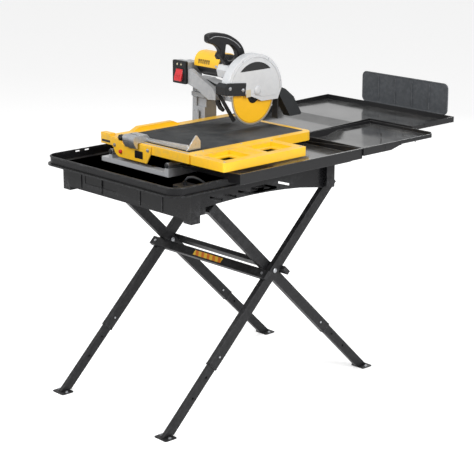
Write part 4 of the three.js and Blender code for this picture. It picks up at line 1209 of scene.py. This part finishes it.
class DressTable(bpy.types.Operator):
    """Rolling table: enamelled frame, ribbed mat, rollers, front scale and hanging plate"""

    bl_idname = "tile_saw.table"
    bl_label = "Rolling table"

    def execute(self, context):
        details = context.scene.saw_details
        dress("cart_frame", "enamel", 2.4, 3)
        dress("front_plate", "enamel", 1.6)
        dress_all(
            [f"roller_{side}_{end}" for side in ("left", "right") for end in ("front", "rear")], "panel", 0.5
        )
        self.lay_mat(details)
        self.fit_front(details)
        return {"FINISHED"}

    def lay_mat(self, details):
        """The mat: fine ribs along the cut, one groove for the blade and one further left."""
        low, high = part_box("cart_mat")
        blade_low, blade_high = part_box("blade")
        cut = middle(blade_low.x, blade_high.x)
        slot = low.x + 0.0495
        grooves = [(slot - 0.0045, slot + 0.0045, 0.005), (cut - 0.003, cut + 0.003, 0.007)]
        pitch, tall = details.rib_pitch, details.rib_height
        flat = high.z - tall
        line = [(low.x, low.z), (low.x, flat)]
        x = low.x + 0.003
        while x + pitch < high.x - 0.002:
            clash = next((g for g in grooves if x + pitch > g[0] - 0.001 and x < g[1] + 0.001), None)
            if clash:
                line += [
                    (clash[0], flat), (clash[0], high.z - clash[2]), (clash[1], high.z - clash[2]),
                    (clash[1], flat),
                ]
                x = clash[1] + 0.001
                grooves.remove(clash)
                continue
            line += [
                (x, flat), (x + pitch * 0.18, high.z), (x + pitch * 0.52, high.z), (x + pitch * 0.7, flat)
            ]
            x += pitch
        line += [(high.x, flat), (high.x, low.z)]
        shape = bmesh.new()
        add_prism(shape, line, "y", low.y, high.y)
        make_piece("table_mat", shape, "cart", "rubber", stands_for=["cart_mat"])

    def fit_front(self, details):
        """Scale, corner screws, red button and blank label at the front bar."""
        low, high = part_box("cart_frame")
        mat_low, mat_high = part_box("cart_mat")
        top = mat_high.z
        strip, marks = bmesh.new(), bmesh.new()
        x0, x1 = -0.135, high.x - 0.02
        y0, y1 = low.y + 0.011, low.y + 0.021
        add_box(strip, (x0, y0, top - 0.0002), (x1, y1, top + 0.0002))
        make_piece("front_scale", strip, "cart", "metal_x")
        count = int((x1 - x0 - 0.01) / details.tick_pitch)
        for i in range(count + 1):
            x = x0 + 0.005 + i * details.tick_pitch
            reach = 0.007 if i % 5 == 0 else 0.004
            add_box(
                marks, (x - 0.0005, y0 + 0.001, top + 0.0001), (x + 0.0005, y0 + 0.001 + reach, top + 0.0003)
            )
        make_piece("front_scale_marks", marks, "cart", "scale_mark")
        screws = bmesh.new()
        for x in (mat_low.x + 0.02, mat_high.x - 0.02):
            add_socket_screw(screws, "z", (x, high.y - 0.012), top - 0.0003, 1, 0.0042, 0.002)
        for y in (low.y + 0.09, low.y + 0.30, low.y + 0.52):
            add_socket_screw(screws, "z", (high.x - 0.018, y), top - 0.0003, 1, 0.0042, 0.002)
        make_piece("table_screws", screws, "cart", "zinc", 0.3)
        plate_low, plate_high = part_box("front_plate")
        face = plate_low.y
        button = bmesh.new()
        seat = face + 0.001
        profile = [
            (0, seat), (0.0085, seat), (0.0085, face - 0.006), (0.007, face - 0.008), (0, face - 0.0085)
        ]
        add_turned(button, profile, "y", (plate_low.x + 0.062, plate_low.z + 0.026), 32)
        make_piece("red_release_button", button, "cart", "paddle", 0.6)
        label = bmesh.new()
        outline = rounded(
            (plate_high.x - 0.105, plate_low.z + 0.014), (plate_high.x - 0.052, plate_low.z + 0.046), 0.003
        )
        add_prism(label, outline, "y", face - 0.0004, face + 0.0002)
        make_piece("front_plate_label", label, "cart", "dark_label")
        blank = bmesh.new()
        outline = rounded((low.x + 0.006, high.z - 0.046), (low.x + 0.062, high.z - 0.036), 0.002, 3)
        add_prism(blank, outline, "y", low.y - 0.0003, low.y + 0.0003)
        make_piece("front_bar_label", blank, "cart", "dark_label")
        bolts = bmesh.new()
        for x, z in (
            (plate_low.x + 0.02, plate_high.z - 0.03), (plate_high.x - 0.02, plate_high.z - 0.02),
            (plate_high.x - 0.13, plate_high.z - 0.02),
        ):
            add_hex_head(bolts, "y", (x, z), face, -1, 0.010, 0.004)
        make_piece("front_plate_bolts", bolts, "cart", "zinc", 0.4)


class DressExtension(bpy.types.Operator):
    """Pull-out side extension with its screws and ribs"""

    bl_idname = "tile_saw.extension"
    bl_label = "Side extension"

    def execute(self, context):
        dress("side_extension", "enamel", 2.6, 3)
        low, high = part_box("side_extension")
        cart_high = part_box("cart_frame")[1]
        screws = bmesh.new()
        for y in (low.y + 0.018, high.y - 0.018):
            for x in (cart_high.x + 0.018, high.x - 0.018):
                add_socket_screw(screws, "z", (x, y), high.z - 0.0003, 1, 0.0048, 0.0022)
        make_piece("extension_screws", screws, "extension", "zinc", 0.3)
        ribs = bmesh.new()
        centre = middle(low.y, high.y)
        for i in range(-3, 4):
            y = centre + i * 0.0075
            add_box(
                ribs,
                (cart_high.x + 0.030, y - 0.0012, high.z - 0.0004),
                (high.x - 0.040, y + 0.0012, high.z + 0.0010),
            )
        make_piece("extension_ribs", ribs, "extension", "enamel", 0.4)
        return {"FINISHED"}


class DressGuide(bpy.types.Operator):
    """Sliding guide with its marks, screws and clamp knob"""

    bl_idname = "tile_saw.guide"
    bl_label = "Sliding guide"

    def execute(self, context):
        dress("fence", "metal_x", 1.1)
        dress("fence_knob", "housing", 1.4)
        low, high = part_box("fence")
        marks = bmesh.new()
        for i in range(9):
            x = low.x + 0.010 + i * 0.0065
            add_box(
                marks,
                (x - 0.0004, low.y + 0.030, low.z + 0.0522),
                (x + 0.0004, low.y + (0.046 if i % 4 == 0 else 0.040), low.z + 0.0526),
            )
        make_piece("guide_marks", marks, "guide", "scale_mark")
        screws = bmesh.new()
        for y in (low.y + 0.036, low.y + 0.055):
            add_socket_screw(screws, "z", (low.x + 0.066, y), high.z - 0.028, 1, 0.004, 0.0025)
        make_piece("guide_screws", screws, "guide", "zinc", 0.3)
        return {"FINISHED"}


# ---------------------------------------------------------------- cutting head


class DressHead(bpy.types.Operator):
    """Gear case, tilting bracket, motor and its cover"""

    bl_idname = "tile_saw.head"
    bl_label = "Motor and gear case"

    CASE_SCREWS = ((-0.205, 1.395), (-0.075, 1.395), (-0.06, 1.325), (-0.118, 1.25))

    def execute(self, context):
        dress("gear_case", "casting", 3.5, 3)
        dress("tilt_bracket", "casting", 1.6)
        dress("motor_body", "housing", 1.6)
        self.fit_cover()
        self.fit_motor()
        self.mark_quadrant()
        return {"FINISHED"}

    def fit_cover(self):
        """Rounded shell over the motor, closed at its outer end."""
        low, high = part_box("motor_cover")
        body_low, body_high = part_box("motor_body")
        centre = (middle(low.y, high.y), middle(body_low.z, body_high.z))
        half = (high.y - low.y) / 2
        bend = half - 0.008
        right = [(centre[0] + half, low.z)] + arc((centre[0] + 0.008, centre[1] + 0.008), bend, 0, 90, 12)
        left = arc((centre[0] - 0.008, centre[1] + 0.008), bend, 90, 180, 12) + [(centre[0] - half, low.z)]
        drop = centre[1] - low.z
        inside = (body_high.z - body_low.z) / 2 + 0.0004
        lean = math.degrees(math.asin(drop / inside))
        shape = bmesh.new()
        add_prism(shape, right + left + arc(centre, inside, 180 + lean, -lean, 40), "x", low.x, high.x)
        make_piece(
            "motor_cover_shell", shape, "head", "enamel", 1.8, 3, stands_for=["motor_cover"]
        )
        end = bmesh.new()
        add_prism(end, right[1:] + left[:-1], "x", low.x, low.x + 0.0035)
        make_piece("motor_cover_end", end, "head", "enamel", 1.6, 3)

    def fit_motor(self):
        """Cooling holes and slots in painted shade, fins, brush caps and screws of the motor."""
        low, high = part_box("motor_body")
        cover_low, cover_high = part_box("motor_cover")
        centre = (middle(low.y, high.y), middle(low.z, high.z))
        radius = (high.z - low.z) / 2
        # The cooling holes are near-black discs: painted shade standing in for the dark inside of each hole.
        holes = bmesh.new()
        inner, outer = low.x + 0.0004, low.x - 0.0006
        profile = [(0, inner), (0.0052, inner), (0.0052, outer), (0, outer)]
        for degrees in range(0, 360, 30):
            t = math.radians(degrees)
            place_at = (centre[0] + 0.024 * math.cos(t), centre[1] + 0.024 * math.sin(t))
            add_turned(holes, profile, "x", place_at, 16)
        make_piece("motor_end_holes", holes, "head", "dark_label")
        fins = bmesh.new()
        root, tip = radius - 0.001, radius + 0.0022
        for i in range(7):
            x = cover_high.x + 0.006 + i * 0.007
            if x + 0.003 < high.x - 0.006:
                add_turned(fins, [(root, x), (tip, x), (tip, x + 0.003), (root, x + 0.003)], "x", centre, 64)
        make_piece("motor_fins", fins, "head", "housing", 0.4)
        # The vent slots are near-black plates on the cover: painted shade standing in for the dark inside of
        # each opening.
        vents = bmesh.new()
        for i in range(6):
            x = cover_low.x + 0.030 + i * 0.013
            slot = rounded((x, centre[1] + 0.006), (x + 0.006, centre[1] + 0.026), 0.0028, 4)
            add_prism(vents, slot, "y", cover_low.y - 0.0004, cover_low.y + 0.002)
            add_prism(vents, slot, "y", cover_high.y - 0.002, cover_high.y + 0.0004)
        make_piece("motor_cover_vents", vents, "head", "dark_label")
        caps = bmesh.new()
        for side, out in ((low.y, -1), (high.y, 1)):
            root, rim, cap = side - out * 0.004, side + out * 0.003, side + out * 0.005
            profile = [(0, root), (0.011, root), (0.011, rim), (0.009, cap), (0, cap)]
            add_turned(caps, profile, "y", (high.x - 0.03, centre[1] - 0.01), 24)
        make_piece("motor_brush_caps", caps, "head", "housing", 0.6)
        case_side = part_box("gear_case")[0].x
        bolts = bmesh.new()
        for y, z in self.CASE_SCREWS:
            add_socket_screw(bolts, "x", (y, z), case_side, -1, 0.0055, 0.004)
        make_piece("gear_case_screws", bolts, "head", "zinc", 0.3)

    def mark_quadrant(self):
        """Degree marks along the quadrant on the arm."""
        hinge = JOINTS["bevel"]["pos_m"]
        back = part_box("arm")[1].y
        rim, half = 0.186, 0.0005
        marks = bmesh.new()
        for i, degrees in enumerate(range(108, 148, 4)):
            t = math.radians(degrees)
            reach = 0.012 if i % 3 == 0 else 0.007
            inner, outer = (
                (hinge[0] + r * math.cos(t), hinge[2] + r * math.sin(t))
                for r in (rim - reach, rim)
            )
            dx, dz = math.sin(t) * half, -math.cos(t) * half
            outline = [
                (inner[0] - dx, inner[1] - dz), (outer[0] - dx, outer[1] - dz),
                (outer[0] + dx, outer[1] + dz), (inner[0] + dx, inner[1] + dz),
            ]
            add_prism(marks, outline, "y", back - 0.0001, back + 0.0002)
        make_piece("quadrant_marks", marks, "saw", "scale_mark")


# The handle's outline and finger hole in millimetres: back from its front, and down from its top.
OUTER_CURVE = (
    (206, 144.7), (212, 119), (210, 93), (192, 63), (158, 35), (108, 11), (44, 0), (6, 5), (0, 21), (6, 39),
    (48, 55), (70, 77), (74, 103), (108, 144.7),
)
FINGER_HOLE = ((104, 55), (138, 63), (162, 83), (172, 107), (168, 127), (120, 127), (100, 103))
# The soft ridge along the handle's back, in metres from the same corner.
RIDGE = (
    (0.012, 0.0125), (0.046, 0.0050), (0.106, 0.0160), (0.156, 0.0390), (0.188, 0.0660), (0.2060, 0.0950),
    (0.2075, 0.1180),
)


class DressHandle(bpy.types.Operator):
    """Hooked handle with its soft grip, and the depth knob"""

    bl_idname = "tile_saw.handle"
    bl_label = "Handle"

    def execute(self, context):
        self.form_handle()
        dress("plunge_knob", "housing", 2.2, 3)
        low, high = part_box("handle")
        x = middle(low.x, high.x)
        ridge = bmesh.new()
        path = [(x, low.y + back, high.z - down) for back, down in RIDGE]
        add_tube(ridge, smooth_path(path, 8), 0.0048, 12)
        make_piece("handle_soft_ridge", ridge, "head", "grip")
        seam = bmesh.new()
        for side in (low.x + 0.0004, high.x - 0.0004):
            path = [(side, low.y + back - 0.003, high.z - down - 0.0105) for back, down in RIDGE[:5]]
            add_tube(seam, smooth_path(path, 8), 0.0016, 8)
        make_piece("handle_seam", seam, "head", "panel_light")
        knob_low, knob_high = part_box("plunge_knob")
        cap = bmesh.new()
        centre = (middle(knob_low.y, knob_high.y), middle(knob_low.z, knob_high.z))
        seat, rim, face = knob_low.x + 0.001, knob_low.x - 0.0012, knob_low.x - 0.002
        profile = [(0, seat), (0.009, seat), (0.009, rim), (0.007, face), (0, face)]
        add_turned(cap, profile, "x", centre, 32)
        make_piece("plunge_knob_cap", cap, "lock_knob", "label")
        stop = bmesh.new()
        seat, rim, face, tip = high.x - 0.001, high.x + 0.010, high.x + 0.012, high.x + 0.016
        profile = [
            (0, seat), (0.012, seat), (0.012, rim), (0.010, face), (0.004, face), (0.004, tip), (0, tip)
        ]
        add_turned(stop, profile, "x", centre, 32)
        make_piece("depth_stop_boss", stop, "head", "housing", 0.8)
        return {"FINISHED"}

    def form_handle(self):
        """The handle as one smooth form with a finger hole."""
        low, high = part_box("handle")

        def curve(points, steps):
            path = smooth_path([(back, down, 0) for back, down in points], steps)
            return [(low.y + p.x * MM, min(high.z - p.y * MM, high.z)) for p in path]

        outer = curve(OUTER_CURVE, 5)
        hole = curve(FINGER_HOLE + FINGER_HOLE[:1], 6)[:-1]
        shape = bmesh.new()
        add_holed_plate(shape, outer, hole, "x", low.x, high.x)
        make_piece("handle_form", shape, "head", "housing", 7.0, 4, stands_for=["handle"])


class DressGuard(bpy.types.Operator):
    """Blade guard with its raised face, rim band, plain crescent and screws"""

    bl_idname = "tile_saw.guard"
    bl_label = "Blade guard"

    def execute(self, context):
        dress("blade_guard", "casting", 1.3)
        low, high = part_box("blade_guard")
        reach = (high.y - low.y) / 2
        centre = (middle(low.y, high.y), high.z - reach)
        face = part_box("front_splash")[1].x - 0.008
        self.raise_face(centre, reach, face)
        self.roll_rim(centre, reach, face, low.x)
        self.set_badge(centre, face)
        self.set_hub(face)
        self.set_screws(centre, reach, face)
        return {"FINISHED"}

    def outline(self, centre, reach, inset):
        """The guard's side face, drawn in by inset: a round top over a stepped lower edge."""
        lower = [
            (centre[0] - reach + 0.012 + inset, centre[1] - 0.004),
            (centre[0] - 0.058, centre[1] - 0.006 + inset * 0.2),
            (centre[0] + 0.001, centre[1] - 0.026 + inset), (centre[0] + 0.039, centre[1] - 0.044 + inset),
            (centre[0] + reach - 0.026 - inset, centre[1] - 0.046 + inset),
        ]
        return arc(centre, reach - inset, 4, 176, 56) + lower

    def raise_face(self, centre, reach, face):
        """A flat panel standing a little proud inside the rim."""
        shape = bmesh.new()
        add_prism(shape, self.outline(centre, reach, 0.017), "x", face - 0.0005, face + 0.0022)
        make_piece("guard_face_panel", shape, "head", "casting", 1.2, 3)

    def roll_rim(self, centre, reach, face, back):
        """Rounded bands where the rim turns into the two side faces."""
        shape = bmesh.new()
        for x in (face - 0.0040, back + 0.0046):
            add_tube(shape, [(x, y, z) for y, z in arc(centre, reach - 0.0046, 2, 178, 72)], 0.0045, 12)
        step = [(face + 0.0002, y, z) for y, z in arc(centre, reach - 0.0135, 0, 178, 72)]
        add_tube(shape, step, 0.0026, 10)
        make_piece("guard_rolled_rim", shape, "head", "casting")

    def set_badge(self, centre, face):
        """A plain dark badge: a curved top over a straight lower edge."""
        shape = bmesh.new()
        add_prism(shape, arc(centre, 0.128, 46, 134, 32), "x", face + 0.0020, face + 0.0034)
        make_piece("guard_badge", shape, "head", "dark_label", 0.4)

    def set_hub(self, face):
        """Pale dome over the arbor and a small blank label in front of it."""
        spindle = JOINTS["blade_spin"]["pos_m"]
        dome = bmesh.new()
        wide, tall = 0.022, 0.0105
        turns = [math.radians(9 * i) for i in range(9)]
        curve = [(wide * math.cos(t), face + tall * math.sin(t)) for t in turns]
        seat = face - 0.0005
        place_at = (spindle[1] + 0.006, spindle[2] + 0.028)
        add_turned(dome, [(0, seat), (wide, seat)] + curve + [(0, face + tall)], "x", place_at, 40)
        make_piece("guard_hub_dome", dome, "head", "casting")
        label = bmesh.new()
        start = spindle[1] - 0.062
        outline = rounded((start, spindle[2] + 0.004), (start + 0.027, spindle[2] + 0.036), 0.002, 3)
        add_prism(label, outline, "x", face + 0.0020, face + 0.0027)
        make_piece("guard_small_label", label, "head", "label")

    def set_screws(self, centre, reach, face):
        """Four screws round the guard's rim."""
        shape = bmesh.new()
        for degrees in (12, 60, 118, 168):
            t = math.radians(degrees)
            y, z = centre[0] + (reach - 0.0105) * math.cos(t), centre[1] + (reach - 0.0105) * math.sin(t)
            add_socket_screw(shape, "x", (y, z), face - 0.0002, 1, 0.0036, 0.0022)
        make_piece("guard_screws", shape, "head", "zinc", 0.3)


class DressBlade(bpy.types.Operator):
    """Painted blade with its grit rim, flanges and arbor"""

    bl_idname = "tile_saw.blade"
    bl_label = "Blade"

    def execute(self, context):
        dress("arbor", "zinc", 0.5)
        dress("outer_flange", "housing", 0.8)
        hinge = JOINTS["blade_spin"]["pos_m"]
        low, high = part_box("blade")
        centre = (hinge[1], hinge[2])
        half = (high.x - low.x) / 2
        x = middle(low.x, high.x)
        reach = (high.z - low.z) / 2
        bore = 0.0083
        shape = bmesh.new()
        core, grit, chamfer = reach - 0.0085, reach - 0.0075, reach - 0.0006
        profile = [
            (bore, x - half * 0.8), (core, x - half * 0.8), (grit, x - half), (chamfer, x - half),
            (reach, x - half * 0.6), (reach, x + half * 0.6), (chamfer, x + half), (grit, x + half),
            (core, x + half * 0.8), (bore, x + half * 0.8),
        ]
        add_turned(shape, profile, "x", centre, 128)
        look = blade_finish(context.scene.saw_colours, (x, centre[0], centre[1]))
        make_piece("blade_disc", shape, "spindle", look, stands_for=["blade"])
        return {"FINISHED"}


class DressSplash(bpy.types.Operator):
    """Rubber splash block, rear flap and curtain"""

    bl_idname = "tile_saw.splash"
    bl_label = "Splash rubbers"

    # The block's bolts: back from its front, and their height.
    BOLTS = ((0.030, 1.318), (0.105, 1.304))

    def execute(self, context):
        dress("front_splash", "grip", 2.4, 3)
        dress("rear_flap", "rubber", 2.0, 3)
        dress("rear_curtain", "rubber", 1.2)
        low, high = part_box("front_splash")
        bolts = bmesh.new()
        for back, z in self.BOLTS:
            y = low.y + back
            add_hex_head(bolts, "x", (y, z), high.x, 1, 0.010, 0.0035)
        make_piece("splash_bolts", bolts, "head", "zinc", 0.4)
        return {"FINISHED"}


# ---------------------------------------------------------------- studio


class SetStage(bpy.types.Operator):
    """Pale floor, soft lamps and the camera"""

    bl_idname = "tile_saw.stage"
    bl_label = "Studio"

    def execute(self, context):
        studio = context.scene.saw_studio
        self.lay_floor()
        self.light(context.scene, studio)
        self.set_camera(context.scene, studio)
        context.scene.view_settings.view_transform = "Standard"
        return {"FINISHED"}

    def lay_floor(self):
        shape = bmesh.new()
        corners = [shape.verts.new((x, y, 0.0)) for x, y in ((-60, -60), (60, -60), (60, 60), (-60, 60))]
        shape.faces.new(corners)
        mesh = bpy.data.meshes.new("floor")
        shape.to_mesh(mesh)
        shape.free()
        floor = bpy.data.objects.new("floor", mesh)
        bpy.context.scene.collection.objects.link(floor)
        material, tree, shader = new_finish("pale_floor")
        feed(tree, shader, Base_Color=(0.93, 0.93, 0.93, 1.0), Roughness=0.9)
        shader.inputs["Specular IOR Level"].default_value = 0.1
        path = place(tree, "LightPath")
        seen = path.outputs["Is Camera Ray"]
        lift = place(tree, "Emission", Color=(1, 1, 1, 1), Strength=maths(tree, "MULTIPLY", seen, 0.33))
        total = tree.nodes.new("ShaderNodeAddShader")
        tree.links.new(shader.outputs[0], total.inputs[0])
        tree.links.new(lift.outputs[0], total.inputs[1])
        tree.links.new(total.outputs[0], tree.nodes["Material Output"].inputs["Surface"])
        mesh.materials.append(material)

    def light(self, scene, studio):
        world = bpy.data.worlds.new("studio_sky")
        scene.world = world
        world.use_nodes = True
        tree = world.node_tree
        background = tree.nodes["Background"]
        path = place(tree, "LightPath")
        seen = maths(tree, "MAXIMUM", path.outputs["Is Camera Ray"], path.outputs["Is Transmission Ray"])
        feed(tree, background, Color=(1, 1, 1, 1), Strength=maths(tree, "MAXIMUM", seen, studio.sky))
        aim = Vector((-0.05, -0.1, 1.0))
        for name, place_at, size, power in (
            ("key_lamp", (-0.6, -4.0, 4.2), 2.4, studio.key),
            ("fill_lamp", (4.2, -0.6, 2.9), 2.2, studio.fill),
            ("back_lamp", (-1.6, 4.2, 3.4), 2.6, studio.fill * 0.6),
        ):
            data = bpy.data.lights.new(name, "AREA")
            data.shape = "DISK"
            data.size = size
            data.energy = power
            lamp = bpy.data.objects.new(name, data)
            lamp.location = place_at
            lamp.rotation_euler = (aim - Vector(place_at)).to_track_quat("-Z", "Y").to_euler()
            scene.collection.objects.link(lamp)

    def set_camera(self, scene, studio):
        data = bpy.data.cameras.new("viewer")
        data.lens = studio.lens
        data.sensor_width = 36
        data.clip_end = 200
        camera = bpy.data.objects.new("viewer", data)
        camera.location = studio.camera_place
        level = math.cos(studio.tilt)
        ahead = Vector(
            (-math.sin(studio.turn) * level, math.cos(studio.turn) * level, -math.sin(studio.tilt))
        )
        camera.rotation_euler = ahead.to_track_quat("-Z", "Y").to_euler()
        scene.collection.objects.link(camera)
        scene.camera = camera


# ---------------------------------------------------------------- sidebar and registration

DRESSERS = (
    DressStand,
    DressFeet,
    DressPan,
    DressTrays,
    DressSplashPanel,
    DressPump,
    DressFrame,
    DressSwitch,
    DressTable,
    DressExtension,
    DressGuide,
    DressHead,
    DressHandle,
    DressGuard,
    DressBlade,
    DressSplash,
    SetStage,
)


class TileSawPanel(bpy.types.Panel):
    """Lists the saw's pieces and what can be changed about them"""

    bl_idname = "VIEW3D_PT_tile_saw"
    bl_label = "Tile Saw"
    bl_space_type = "VIEW_3D"
    bl_region_type = "UI"
    bl_category = PANEL_GROUP

    def draw(self, context):
        for group in (context.scene.saw_colours, context.scene.saw_details, context.scene.saw_studio):
            box = self.layout.box()
            for name in group.__annotations__:
                box.prop(group, name)
        for dresser in DRESSERS:
            self.layout.operator(dresser.bl_idname)


CLASSES = (SawColours, SawDetails, StudioSettings, *DRESSERS, TileSawPanel)


def register():
    for made in CLASSES:
        bpy.utils.register_class(made)
    bpy.types.Scene.saw_colours = bpy.props.PointerProperty(type=SawColours)
    bpy.types.Scene.saw_details = bpy.props.PointerProperty(type=SawDetails)
    bpy.types.Scene.saw_studio = bpy.props.PointerProperty(type=StudioSettings)


def unregister():
    del bpy.types.Scene.saw_colours
    del bpy.types.Scene.saw_details
    del bpy.types.Scene.saw_studio
    for made in reversed(CLASSES):
        bpy.utils.unregister_class(made)


def main():
    register()
    for dresser in DRESSERS:
        family, name = dresser.bl_idname.split(".")
        getattr(getattr(bpy.ops, family), name)()


if __name__ == "__main__":
    main()
